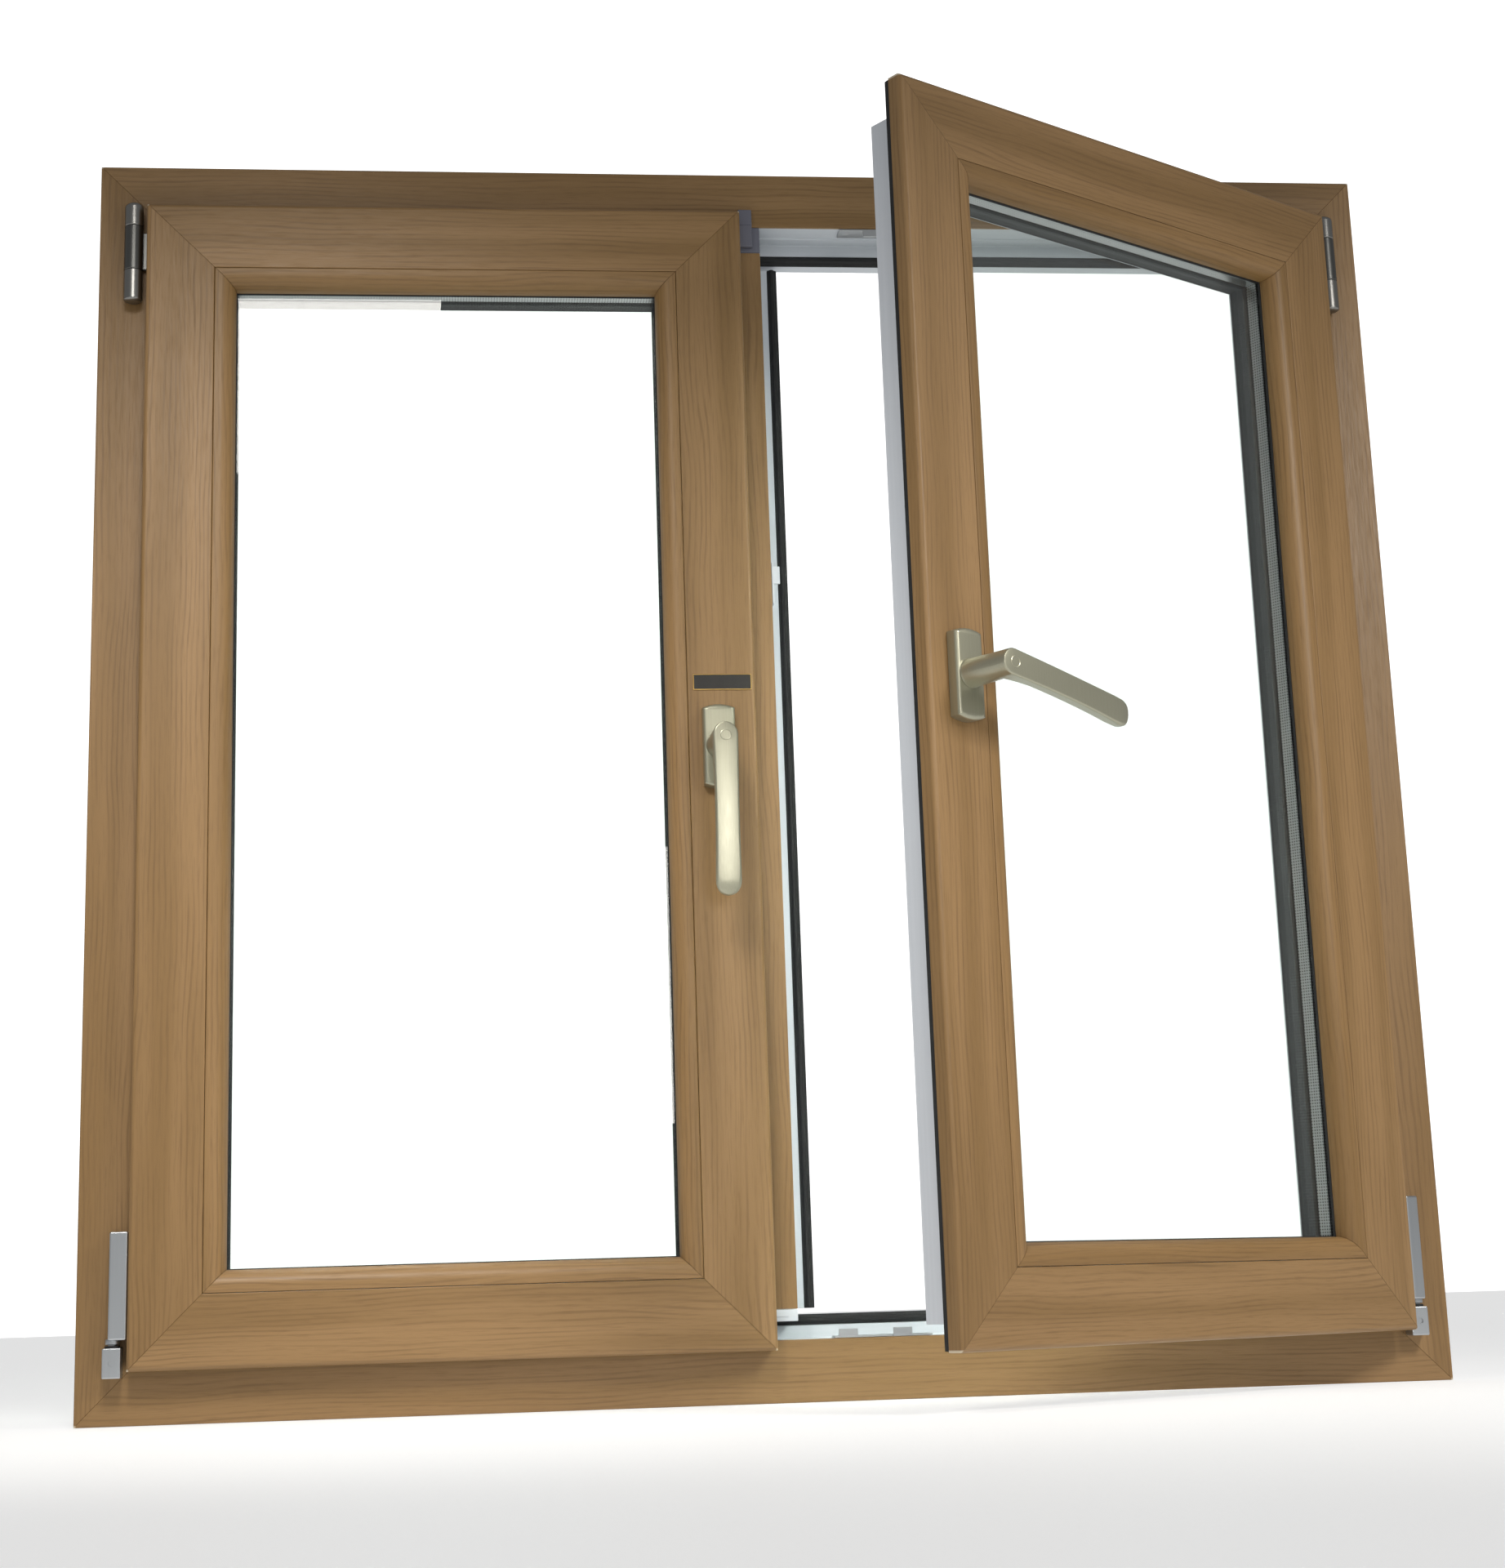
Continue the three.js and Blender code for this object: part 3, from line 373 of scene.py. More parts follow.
# %% [markdown]
# ## Metals
#
# The hinges are steel plated with satin nickel, bright on the frame; the upper hinges' knuckles on the
# leaf are drawn in a darker copy of that nickel. The lock parts are steel with a bright zinc plate, and
# the lower hinge covers are die-cast zinc. The spacer bar between the panes is rolled mill-finish
# aluminium. All take their colour from the reflection, so they are fully metallic and the fine scratches
# of their finish show as changes of roughness along the piece.
# The handles are die-cast too, but sprayed with a champagne lacquer that holds aluminium flake. Flake
# gives a soft metallic sheen with a broad highlight, under a thin clear coat.

# %% Metal finishes
def plated_metal(name, light, dark, roughness, along, across):
    """Metal whose brushing or rolling marks have that size, in millimetres."""
    finish, tree, shader = new_finish(name, light, roughness, {"Metallic": 1.0})
    marks = noise(tree, along, across, 4.0)
    tone = blend(tree, marks, hex_colour(light), hex_colour(dark))
    gloss = ramp(tree, marks, 0.0, 1.0, roughness - 0.08, roughness + 0.1)
    dress(tree, shader, tone, gloss, marks, 0.15, 0.03)
    return finish


SATIN_NICKEL = plated_metal("satin_nickel", "94938F", "7F7E7B", 0.32, 0.9, 12)
# A darker copy of the satin nickel, for the upper hinges' knuckles on the leaf.
DARKER_NICKEL_COPY = plated_metal("dark_nickel", "6F6F6C", "5A5A58", 0.34, 0.9, 12)
DIE_CAST_ZINC = plated_metal("satin_die_cast_zinc", "C4C7C9", "A9ADB0", 0.36, 14, 1.4)
ZINC_PLATE = plated_metal("bright_zinc_plate", "C9CCCE", "B2B5B6", 0.33, 25, 1.8)

# %% Champagne lacquer
CHAMPAGNE = plated_metal("champagne_lacquer", "B0AE98", "A2A08A", 0.36, 0.7, 0.7)
lacquer = CHAMPAGNE.node_tree.nodes["Principled BSDF"].inputs
lacquer["Metallic"].default_value = 0.8
lacquer["Coat Weight"].default_value = 0.8
lacquer["Coat Roughness"].default_value = 0.25
print("metals:", SATIN_NICKEL.name, DIE_CAST_ZINC.name, CHAMPAGNE.name)

# %% [markdown]
# ## Meshes, and the way each one is finished off
#
# A mesh is made from points in millimetres. When its shape is done it is given its finishes, turned
# with its leaf, shaded smooth across round stretches and crisp at real edges, and told which body
# carries it. Faces with more than four corners are split first, so that every program divides them in
# the same way. A Weighted Normal modifier keeps the wide flat faces flat beside their rounded edges.

# %% Mesh helpers
dice = random.Random(11)


def new_object(name, mesh):
    """An object that shows a mesh."""
    made = bpy.data.objects.new(name, mesh)
    bpy.context.scene.collection.objects.link(made)
    return made


def reworked(mesh, rework):
    """Takes a mesh through one bmesh step."""
    shape = bmesh.new()
    shape.from_mesh(mesh)
    rework(shape)
    shape.to_mesh(mesh)
    shape.free()


def turn_outwards(shape):
    """Turns every face to look outwards."""
    bmesh.ops.recalc_face_normals(shape, faces=shape.faces)


def split_wide(shape):
    """Splits the faces that have more than four corners."""
    bmesh.ops.triangulate(shape, faces=[face for face in shape.faces if len(face.verts) > 4])


def mesh_piece(name, points, faces):
    """An object from points in millimetres, with every face turned outwards."""
    mesh = bpy.data.meshes.new(name)
    mesh.from_pydata([Vector(point) * MM for point in points], [], faces)
    reworked(mesh, turn_outwards)
    return new_object(name, mesh)


def write_attribute(mesh, name, rows):
    """Stores one vector for each vertex, in metres."""
    layer = mesh.attributes.new(name, "FLOAT_VECTOR", "POINT")
    layer.data.foreach_set("vector", [value for row in rows for value in row])


def finish_off(made, body, slot, finishes, *stands_for, sharp=32):
    """Gives a shape its finishes and its body, and hides the design nodes that it stands for."""
    mesh = made.data
    for finish in finishes:
        mesh.materials.append(finish)
    if "grain" not in mesh.attributes:
        own = Vector(dice.uniform(0, 9) for _ in range(3))
        write_attribute(mesh, "grain", [vertex.co + own for vertex in mesh.vertices])
    reworked(mesh, split_wide)
    mesh.transform(swing_of(body))
    mesh.shade_smooth()
    mesh.set_sharp_from_angle(angle=math.radians(sharp))
    weigh = made.modifiers.new("flat_faces_stay_flat", "WEIGHTED_NORMAL")
    weigh.keep_sharp = True
    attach(made, body)
    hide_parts(*stands_for)


def bands(count, rings, closed=False):
    """The faces between rings of count points each, the last one joined to the first if closed."""
    faces = []
    for ring in range(rings if closed else rings - 1):
        base, on = ring * count, (ring + 1) % rings * count
        for i in range(count):
            j = (i + 1) % count
            faces.append((base + i, base + j, on + j, on + i))
    return faces


def lid(count, ring):
    """The face that fills one ring of count points."""
    return tuple(range(ring * count, (ring + 1) * count))


# %% Sections with rounded corners
def rounded(*corners, steps=5):
    """A section from corners (across, y, radius, finish), with each radius drawn as an arc."""
    made = []
    for i, (across, y, radius, *finish) in enumerate(corners):
        look = finish[0] if finish else 0
        here = Vector((across, y))
        back = Vector(corners[i - 1][:2]) - here
        on = Vector(corners[(i + 1) % len(corners)][:2]) - here
        if not radius:
            made.append((across, y, look))
            continue
        half = back.angle(on) / 2
        reach = min(radius / math.tan(half), back.length / 2.01, on.length / 2.01)
        centre = (back.normalized() + on.normalized()).normalized() * (reach / math.cos(half))
        first = back.normalized() * reach - centre
        last = on.normalized() * reach - centre
        sweep = first.angle(last)
        for k in range(steps + 1):
            turn = sweep * k / steps
            arm = (first * math.sin(sweep - turn) + last * math.sin(turn)) / math.sin(sweep)
            made.append((*(here + centre + arm), look))
    return made


def drawn_in(section, depth):
    """The same section with every face moved in by depth."""
    points = [Vector(point[:2]) for point in section]
    area = sum(a.cross(b) for a, b in zip(points, points[1:] + points[:1]))
    side = 1 if area > 0 else -1
    moved = []
    for i, point in enumerate(points):
        on = (points[(i + 1) % len(points)] - point).normalized()
        back = (point - points[i - 1]).normalized()
        inward = Vector((-on.y - back.y, on.x + back.x)).normalized() * side
        moved.append((*(point + inward * depth), section[i][2]))
    return moved


# %% [markdown]
# ## Lengths of profile
#
# A profile is one section pushed along a line, which is just what an extruder does, so one function
# builds them all: it lays the section at both ends and joins the two with long faces. A mitred end is
# cut at 45 degrees by starting each point of the section as far along as it lies inward. A second,
# slightly smaller section right at the end leaves the fine groove that a milled weld has.

# %% Place and run a length of profile
WELD_GROOVE = 0.3


def side_of(rect, side):
    """Maps (inward, y, along) on one side of a rectangle to a point, and gives that side's length."""
    left, right, bottom, top = rect
    places = {
        "bottom": lambda inward, y, along: (left + along, y, bottom + inward),
        "top": lambda inward, y, along: (left + along, y, top - inward),
        "left": lambda inward, y, along: (left + inward, y, bottom + along),
        "right": lambda inward, y, along: (right - inward, y, bottom + along),
    }
    return places[side], right - left if side in ("bottom", "top") else top - bottom


def profile_run(name, section, place, length, mitre=1, plain=False):
    """One length of profile with both ends mitred (1) or square (0)."""
    small = drawn_in(section, WELD_GROOVE)
    stations = ((small, 0, 0), (section, 0, WELD_GROOVE), (section, 1, WELD_GROOVE), (small, 1, 0))
    round_the_section = [0.0]
    for here, following in zip(section, section[1:]):
        round_the_section.append(round_the_section[-1] + math.dist(here[:2], following[:2]))
    own = dice.uniform(0, 40)
    start = dice.uniform(0, 9)
    points, grain, ends = [], [], []
    for shape, far, step in stations:
        for (inward, y, _), distance in zip(shape, round_the_section):
            cut = mitre * inward + step
            along = length - cut if far else cut
            points.append(place(inward, y, along))
            grain.append((along * MM + start, distance * MM + own, own))
            near = along - mitre * inward
            ends.append((near * MM, (length - mitre * inward - along) * MM, inward * MM))
    count = len(section)
    made = mesh_piece(name, points, [lid(count, 0), *bands(count, 4), lid(count, 3)])
    write_attribute(made.data, "grain", grain)
    write_attribute(made.data, "mitre", ends if mitre else [(1, 1, 1)] * len(points))
    if not plain:
        looks = [BARE, *[point[2] for point in section] * 3, BARE]
        made.data.polygons.foreach_set("material_index", looks)
    return made


def closed_ring(name, rect, section):
    """A seal that runs round a rectangle in one piece, its corners mitred."""
    left, right, bottom, top = rect
    corners = ((left, bottom, 1, 1), (right, bottom, -1, 1), (right, top, -1, -1), (left, top, 1, -1))
    points = [
        (x + sx * inward, y, z + sz * inward)
        for x, z, sx, sz in corners
        for inward, y, _ in section
    ]
    return mesh_piece(name, points, bands(len(section), 4, closed=True))


# %% [markdown]
# ## The frame
#
# The frame's section is an L: a face to the room, a rebate that the leaf closes into, and a stop lip on
# the outdoor side. The foil covers the face and wraps round both its edges by 2 mm, and the rest stays
# bare white. A shallow groove in the rebate wall is where lock parts are clipped and screwed.

# %% Frame section and its four members
# The third look is black rubber, laid on the glass lip's reveal as painted shade.
FOILED, BARE, PAINTED_SHADE_REVEAL = 0, 1, 2
FOIL_WRAP = 2
FRAME_FACE = 51  # width of the frame's face
LIP_Y = 12  # front of the stop lip
SEAT = 62  # where the lip steps back for its seal
SEAT_Y = 15
LIP_TIP = 71


def stop_lip(shift):
    """The corners of the stop lip and its seat, moved across by shift."""
    return [
        (SEAT + shift, LIP_Y, 0.4, BARE),
        (SEAT + shift, SEAT_Y, 0.2, BARE),
        (LIP_TIP + shift, SEAT_Y, 0.4, BARE),
        (LIP_TIP + shift, BACK_Y, 2, BARE),
    ]


frame_section = rounded(
    (0, BACK_Y, 0.6, BARE),
    (0, FACE_Y + FOIL_WRAP, 0, FOILED),
    (0, FACE_Y, 1.2, FOILED),
    (FRAME_FACE, FACE_Y, 1.0, FOILED),
    (FRAME_FACE, FACE_Y + FOIL_WRAP, 0, BARE),
    (FRAME_FACE, -9, 0.3, BARE),
    (FRAME_FACE - 1.2, -8.4, 0.3, BARE),
    (FRAME_FACE - 1.2, -2.6, 0.3, BARE),
    (FRAME_FACE, -2, 0.3, BARE),
    (FRAME_FACE, LIP_Y, 1.2, BARE),
    *stop_lip(0),
)
frame_sides = {"sill": "bottom", "head": "top", "jamb_left": "left", "jamb_right": "right"}
for node, side in frame_sides.items():
    member = profile_run(f"frame_{node}_profile", frame_section, *side_of(FRAME_RECT, side))
    finish_off(member, "frame", "profile_foil", [FOIL, WHITE_PVC], f"frame_{node}")
print("frame members:", len(frame_sides), "section points:", len(frame_section))

# %% [markdown]
# ## The frame's stop seal
#
# The seal sits in a groove of the lip. It has a flat foot, a hollow bulb and a soft lip that bends
# against the leaf's back. From the room it shows as a black band about 9 mm wide beside the white lip.

# %% Stop seal
stop_seal_section = rounded(
    (LIP_TIP, SEAT_Y - 0.3, 0.2),
    (SEAT + 0.3, SEAT_Y - 0.3, 0.2),
    (SEAT + 0.3, LIP_Y - 0.4, 0.3),
    (SEAT + 1.6, LIP_Y - 0.6, 0.5),
    (SEAT + 3.2, LEAF_BACK_Y + 0.5, 0.8),
    (SEAT + 5.4, LEAF_BACK_Y + 0.35, 0.8),
    (SEAT + 6.6, LIP_Y - 0.6, 0.8),
    (LIP_TIP - 1.0, LIP_Y + 0.3, 0.4),
    (LIP_TIP, LIP_Y + 1.2, 0.4),
    steps=3,
)
stop_seal = closed_ring("frame_stop_seal", FRAME_RECT, stop_seal_section)
finish_off(stop_seal, "frame", "epdm_gasket", [EPDM], "frame_gasket")

# %% [markdown]
# ## The leaves
#
# A leaf's section is a Z: a flange that laps over the frame's face, with a rounded front edge, a body
# with a groove for the lock, and a lip that holds the glass from outside. The bead that holds it from
# the room side is a separate, clipped-in strip: a narrow flat, then a quarter round that falls to the
# glass. The lip's reveal, which shows through the glass, is painted with the black rubber finish as
# painted shade, so it reads dark behind the glass. Both leaves are the same profile, so one function
# makes either.

# %% Leaf and bead sections
FLANGE = 20  # how far the flange stands past the body
FLANGE_BACK_Y = LEAF_FRONT_Y + 15
BEAD_JOINT = 60  # leaf edge to the joint with the bead
DAYLIGHT = 78  # leaf edge to the visible glass
BEAD_BACK_Y = LEAF_FRONT_Y + 17
GLASS_LIP_Y = LEAF_BACK_Y - 15
GROOVE_Y = FLANGE_BACK_Y + 13  # middle of the lock groove
PLATE_FLOOR = FLANGE + 3
ROD_FLOOR = PLATE_FLOOR + 2.5
leaf_section = rounded(
    (FLANGE, LEAF_BACK_Y, 0.8, BARE),
    (FLANGE, GROOVE_Y + 8, 0.3, BARE),
    (PLATE_FLOOR, GROOVE_Y + 8, 0, BARE),
    (PLATE_FLOOR, GROOVE_Y + 6, 0, BARE),
    (ROD_FLOOR, GROOVE_Y + 6, 0, BARE),
    (ROD_FLOOR, GROOVE_Y - 6, 0, BARE),
    (PLATE_FLOOR, GROOVE_Y - 6, 0, BARE),
    (PLATE_FLOOR, GROOVE_Y - 8, 0, BARE),
    (FLANGE, GROOVE_Y - 8, 0.3, BARE),
    (FLANGE, FLANGE_BACK_Y, 0.4, BARE),
    (FOIL_WRAP, FLANGE_BACK_Y, 0, FOILED),
    (0, FLANGE_BACK_Y, 0.8, FOILED),
    (0, LEAF_FRONT_Y, 4, FOILED),
    (BEAD_JOINT - 0.3, LEAF_FRONT_Y, 0.8, FOILED),
    (BEAD_JOINT - 0.3, LEAF_FRONT_Y + FOIL_WRAP + 2, 0, BARE),
    (BEAD_JOINT - 0.3, GLASS_LIP_Y, 0, BARE),
    # The reveal takes the black rubber finish: painted shade seen through the glass.
    (DAYLIGHT, GLASS_LIP_Y, 0.5, PAINTED_SHADE_REVEAL),
    (DAYLIGHT, LEAF_BACK_Y, 2.5, BARE),
    steps=6,
)
BEAD_FLAT = 5
BEAD_NOSE = 2
fall = []
for step in range(13):
    turn = math.radians(90 * step / 12)
    across = BEAD_JOINT + BEAD_FLAT + (DAYLIGHT - BEAD_JOINT - BEAD_FLAT) * math.sin(turn)
    y = BEAD_BACK_Y - BEAD_NOSE - (BEAD_BACK_Y - BEAD_NOSE - LEAF_FRONT_Y) * math.cos(turn)
    fall.append((across, y, 0))
bead_section = rounded(
    (BEAD_JOINT, BEAD_BACK_Y, 0),
    (BEAD_JOINT, LEAF_FRONT_Y, 0.8),
    *fall,
    (DAYLIGHT, BEAD_BACK_Y, 0.3),
    steps=4,
)
print("leaf section points:", len(leaf_section), "bead section points:", len(bead_section))

# %% [markdown]
# ## Seals, glass and spacer
#
# Behind the flange runs a lip seal that closes on the frame's face, with its lip out near the flange's
# edge, so a thin black line shows there on an open leaf. On either side of the glass there is another:
# the inner one is drawn on with the bead and stands 0.9 mm past it, as a thin black line round the
# glass, and the outer one is pushed into the lip. The glass unit is two 5 mm panes with a
# 12 mm space, held apart by a hollow aluminium bar that is perforated so that its drying grains can
# breathe, and closed outside the bar with black sealant.

# %% Seal and glass-edge sections
PANE = 5
GLASS_FRONT_Y = BEAD_BACK_Y + 3
GLASS_BACK_Y = GLASS_FRONT_Y + 2 * PANE + 12
GLASS_EDGE = 65
SPACER_FRONT_Y = GLASS_FRONT_Y + PANE + 0.3
SPACER_BACK_Y = GLASS_BACK_Y - PANE - 0.3
SPACER_IN = DAYLIGHT - 1
lap_seal_section = rounded(
    (1.0, FLANGE_BACK_Y + 0.15, 0),
    (8.2, FLANGE_BACK_Y + 0.15, 0.2),
    (7.8, FLANGE_BACK_Y + 1.3, 0.4),
    (5.4, FLANGE_BACK_Y + 2.2, 0.6),
    (4.2, FACE_Y - 1.6, 0.6),
    (2.5, FACE_Y - 0.35, 0.5),
    (1.2, FACE_Y - 0.9, 0.5),
    (0.9, FLANGE_BACK_Y + 2.0, 0.4),
    steps=3,
)
inner_seal_section = rounded(
    (DAYLIGHT - 12, BEAD_BACK_Y + 0.15, 0),
    (DAYLIGHT + 0.2, BEAD_BACK_Y + 0.15, 0.2),
    (DAYLIGHT + 0.9, BEAD_BACK_Y + 1.4, 0.4),
    (DAYLIGHT + 0.5, GLASS_FRONT_Y - 0.15, 0.3),
    (DAYLIGHT - 12, GLASS_FRONT_Y - 0.15, 0),
    steps=3,
)
outer_seal_section = rounded(
    (DAYLIGHT - 10, GLASS_BACK_Y + 0.15, 0),
    (DAYLIGHT + 0.5, GLASS_BACK_Y + 0.15, 0.3),
    (DAYLIGHT + 1.1, GLASS_BACK_Y + 1.6, 0.4),
    (DAYLIGHT + 0.2, GLASS_LIP_Y - 0.15, 0.2),
    (DAYLIGHT - 10, GLASS_LIP_Y - 0.15, 0),
    steps=3,
)
spacer_section = rounded(
    (SPACER_IN - 8, SPACER_BACK_Y - 2, 0),
    (SPACER_IN - 8, SPACER_FRONT_Y + 2, 0),
    (SPACER_IN - 6, SPACER_FRONT_Y, 0.5),
    (SPACER_IN, SPACER_FRONT_Y, 0.6),
    (SPACER_IN, SPACER_BACK_Y, 0.6),
    (SPACER_IN - 6, SPACER_BACK_Y, 0.5),
    steps=3,
)
sealant_section = rounded(
    (GLASS_EDGE + 0.4, SPACER_BACK_Y, 0),
    (GLASS_EDGE + 0.4, SPACER_FRONT_Y, 0),
    (SPACER_IN - 8.3, SPACER_FRONT_Y, 0),
    (SPACER_IN - 8.3, SPACER_BACK_Y, 0),
)

# %% [markdown]
# ## Holes in the spacer bar
#
# The bar has two rows of pin holes, 2.5 mm apart. Real holes would add tens of thousands of faces that
# nobody could see, so they are painted in the finish as near-black dots, painted shade that stands for
# the dark inside of each hole. A Voronoi texture with no randomness is a regular grid of dots, and it is
# laid out with the same grain coordinates, along the bar and round its section.

# %% Perforated spacer finish
HOLE_PITCH = 2.5
PERFORATED = plated_metal("perforated_mill_aluminium", "CDD0D1", "B7BABB", 0.35, 40, 1.2)
tree = PERFORATED.node_tree
bar_colour = tree.nodes["Principled BSDF"].inputs["Base Color"]
dots = {"Vector": stretched(tree, HOLE_PITCH, HOLE_PITCH), "Scale": 1.0, "Randomness": 0.0}
grid = add_node(tree, "ShaderNodeTexVoronoi", dots, voronoi_dimensions="2D")
# Painted shade: each hole is a near-black dot that stands for the dark inside of the bar.
hole = ramp(tree, grid.outputs["Distance"], 0.2, 0.3, 0.85, 0.0)
painted_hole_shade = blend(tree, hole, bar_colour.links[0].from_socket, hex_colour("1C1D1E"))
tree.links.new(painted_hole_shade, bar_colour)
print("spacer finish:", PERFORATED.name)


# %% Blocks with broken edges
def block(low, high, edge=0.4, segments=3):
    """A box in millimetres whose edges are rounded by edge."""
    middle = (Vector(low) + Vector(high)) / 2
    size = Vector(high) - Vector(low)
    shape = bmesh.new()
    bmesh.ops.create_cube(shape, size=1)
    for vertex in shape.verts:
        vertex.co = (middle + Vector(a * b for a, b in zip(vertex.co, size))) * MM
    rim = shape.edges[:]
    bmesh.ops.bevel(shape, geom=rim, offset=edge * MM, segments=segments, profile=0.5, affect="EDGES")
    mesh = bpy.data.meshes.new("block")
    shape.to_mesh(mesh)
    shape.free()
    return new_object("block", mesh)


def cutter(low, high):
    """A sharp block that cuts a slot."""
    return block(low, high, edge=0.1, segments=1)


# %% Build both leaves
def leaf(body, meeting):
    """The four members, four beads, seals, panes and spacer bars of one leaf."""
    rect = LEAF_RECTS[body]
    hinged = {"right": "left", "left": "right"}[meeting]
    sides = {"top": "top", "bottom": "bottom", "hinge": hinged, "meeting": meeting}
    for part, side in sides.items():
        node = f"{body}_{part}_{'rail' if part == side else 'stile'}"
        member = profile_run(f"{node}_profile", leaf_section, *side_of(rect, side))
        # Finish 2, black rubber, paints shade on the glass lip's reveal.
        finish_off(member, body, "profile_foil", [FOIL, WHITE_PVC, EPDM], node)
    for part, side in sides.items():
        strip = profile_run(f"{body}_bead_{part}_strip", bead_section, *side_of(rect, side))
        finish_off(strip, body, "bead_foil", [BEAD_FOIL, WHITE_PVC], f"{body}_bead_{part}")
    seals = (
        ("lap_seal", lap_seal_section, EPDM, ["overlap_gasket"]),
        ("inner_glass_seal", inner_seal_section, EPDM, []),
        ("outer_glass_seal", outer_seal_section, EPDM, ["glazing_gasket"]),
        ("glass_edge_sealant", sealant_section, SEALANT, []),
    )
    for piece, section, finish, nodes in seals:
        seal = closed_ring(f"{body}_{piece}", rect, section)
        finish_off(seal, body, "epdm_gasket", [finish], *[f"{body}_{node}" for node in nodes])
    for side in ("bottom", "top", "left", "right"):
        place = side_of(rect, side)
        bar = profile_run(f"{body}_spacer_bar_{side}", spacer_section, *place, plain=True)
        finish_off(bar, body, "spacer_aluminium", [PERFORATED], f"{body}_glass_spacer")
    for piece, front in (("inner", GLASS_FRONT_Y), ("outer", GLASS_BACK_Y - PANE)):
        low = (rect[0] + GLASS_EDGE, front, rect[2] + GLASS_EDGE)
        high = (rect[1] - GLASS_EDGE, front + PANE, rect[3] - GLASS_EDGE)
        sheet = block(low, high, edge=0.5, segments=1)
        sheet.name = f"{body}_{piece}_glass"
        finish_off(sheet, body, "float_glass", [GLASS], f"{body}_pane_{piece}", sharp=20)


leaf("left_sash", "right")
leaf("right_sash", "left")

# %% [markdown]
# ## The floating mullion
#
# Two leaves that meet with no post between them need something to close against. It is a profile of
# its own, screwed to the back of the left leaf's meeting stile, so it swings away with that leaf. It
# has the same lip and seal as the frame. Its ends are square, with a moulded cap on each.

# %% Mullion and its seal
mullion_low, mullion_high = shut_box("floating_mullion")
BODY_LEFT = LEAF_RECTS["left_sash"][1] - FLANGE + 0.3
BODY_RIGHT = LEAF_RECTS["right_sash"][0] + 8
shift = BODY_RIGHT - FRAME_FACE
mullion_section = rounded(
    (mullion_low.x, BACK_Y, 2, BARE),
    (mullion_low.x, LEAF_BACK_Y + 0.3, 0.4, BARE),
    (BODY_LEFT, LEAF_BACK_Y + 0.3, 0, BARE),
    (BODY_LEFT, FACE_Y, 0.4, FOILED),
    (BODY_RIGHT, FACE_Y, 1.0, FOILED),
    (BODY_RIGHT, FACE_Y + FOIL_WRAP, 0, BARE),
    (BODY_RIGHT, LIP_Y, 1.2, BARE),
    *stop_lip(shift),
)
upright = (lambda across, y, along: (across, y, mullion_low.z + along), mullion_high.z - mullion_low.z)
mullion = profile_run("floating_mullion_profile", mullion_section, *upright, mitre=0)
finish_off(mullion, "left_sash", "profile_foil", [FOIL, WHITE_PVC], "floating_mullion")
seal_section = [(across + shift, y, look) for across, y, look in stop_seal_section]
seal = profile_run("mullion_stop_seal", seal_section, *upright, mitre=0, plain=True)
finish_off(seal, "left_sash", "epdm_gasket", [EPDM], "mullion_gasket")
print("mullion height", round(mullion_high.z - mullion_low.z, 1))

# %% [markdown]
# ## Joining blocks into castings
#
# Caps, keepers and hinges are small moulded or pressed pieces. Their shape is a few blocks and turned
# bodies run together, so they are modelled that way and made one skin with Boolean modifiers, which
# leaves no faces inside. The modifiers are applied at once.

# %% Boolean and lathe helpers
def fused(name, shapes, holes=()):
    """One skin from several shapes, less the holes."""
    made = shapes[0]
    for operation, others in (("UNION", shapes[1:]), ("DIFFERENCE", holes)):
        for other in others:
            step = made.modifiers.new(operation.lower(), "BOOLEAN")
            step.operation = operation
            step.object = other
            step.solver = "EXACT"
    bpy.context.view_layer.update()
    settled = made.evaluated_get(bpy.context.evaluated_depsgraph_get())
    mesh = bpy.data.meshes.new_from_object(settled)
    made.modifiers.clear()
    made.data = mesh
    for other in [*shapes[1:], *holes]:
        bpy.data.objects.remove(other)
    made.name = name
    made.data.name = name
    return made


LAY = {
    "X": Matrix.Rotation(math.radians(90), 4, "Y"),
    "Y": Matrix.Rotation(math.radians(90), 4, "X"),
    "Z": Matrix.Identity(4),
}


def turned(profile, centre, axis="Z", around=48, bored=False):
    """A body of revolution from (radius, height) points, about a line through centre."""
    points, rows = [], []
    for radius, height in profile:
        if radius < 1e-6:
            rows.append([len(points)] * around)
            points.append((0, 0, height))
            continue
        rows.append(list(range(len(points), len(points) + around)))
        for k in range(around):
            turn = 2 * math.pi * k / around
            points.append((radius * math.cos(turn), radius * math.sin(turn), height))
    if bored:
        rows.append(rows[0])
    faces = []
    for lower, upper in zip(rows, rows[1:]):
        for k in range(around):
            j = (k + 1) % around
            faces.append(tuple(dict.fromkeys((lower[k], lower[j], upper[j], upper[k]))))
    place = Matrix.Translation(Vector(centre)) @ LAY[axis]
    return mesh_piece("turned", [place @ Vector(point) for point in points], faces)


# %% Mullion caps
cap_low, cap_high = shut_box("mullion_cap_top")
plug_top = FRAME_RECT[3] - FRAME_FACE - 0.3
left, right = LEAF_RECTS["left_sash"][1] + 0.3, LEAF_RECTS["right_sash"][0] + 0.6
plug = block((cap_low.x, FACE_Y, cap_low.z), (cap_high.x, cap_high.y, plug_top), edge=0.8)
plate = block((left, cap_low.y, cap_low.z + 3.7), (right, FACE_Y - 0.3, cap_high.z), edge=1.0)
neck = block((left + 0.6, FACE_Y - 3, cap_low.z + 4.5), (right - 0.6, FACE_Y + 4, plug_top - 4))
seam = cutter((left - 2, cap_low.y - 1, plug_top - 0.3), (right + 2, cap_low.y + 0.4, plug_top + 0.3))
top_cap = fused("mullion_top_cap", [plug, plate, neck], [seam])
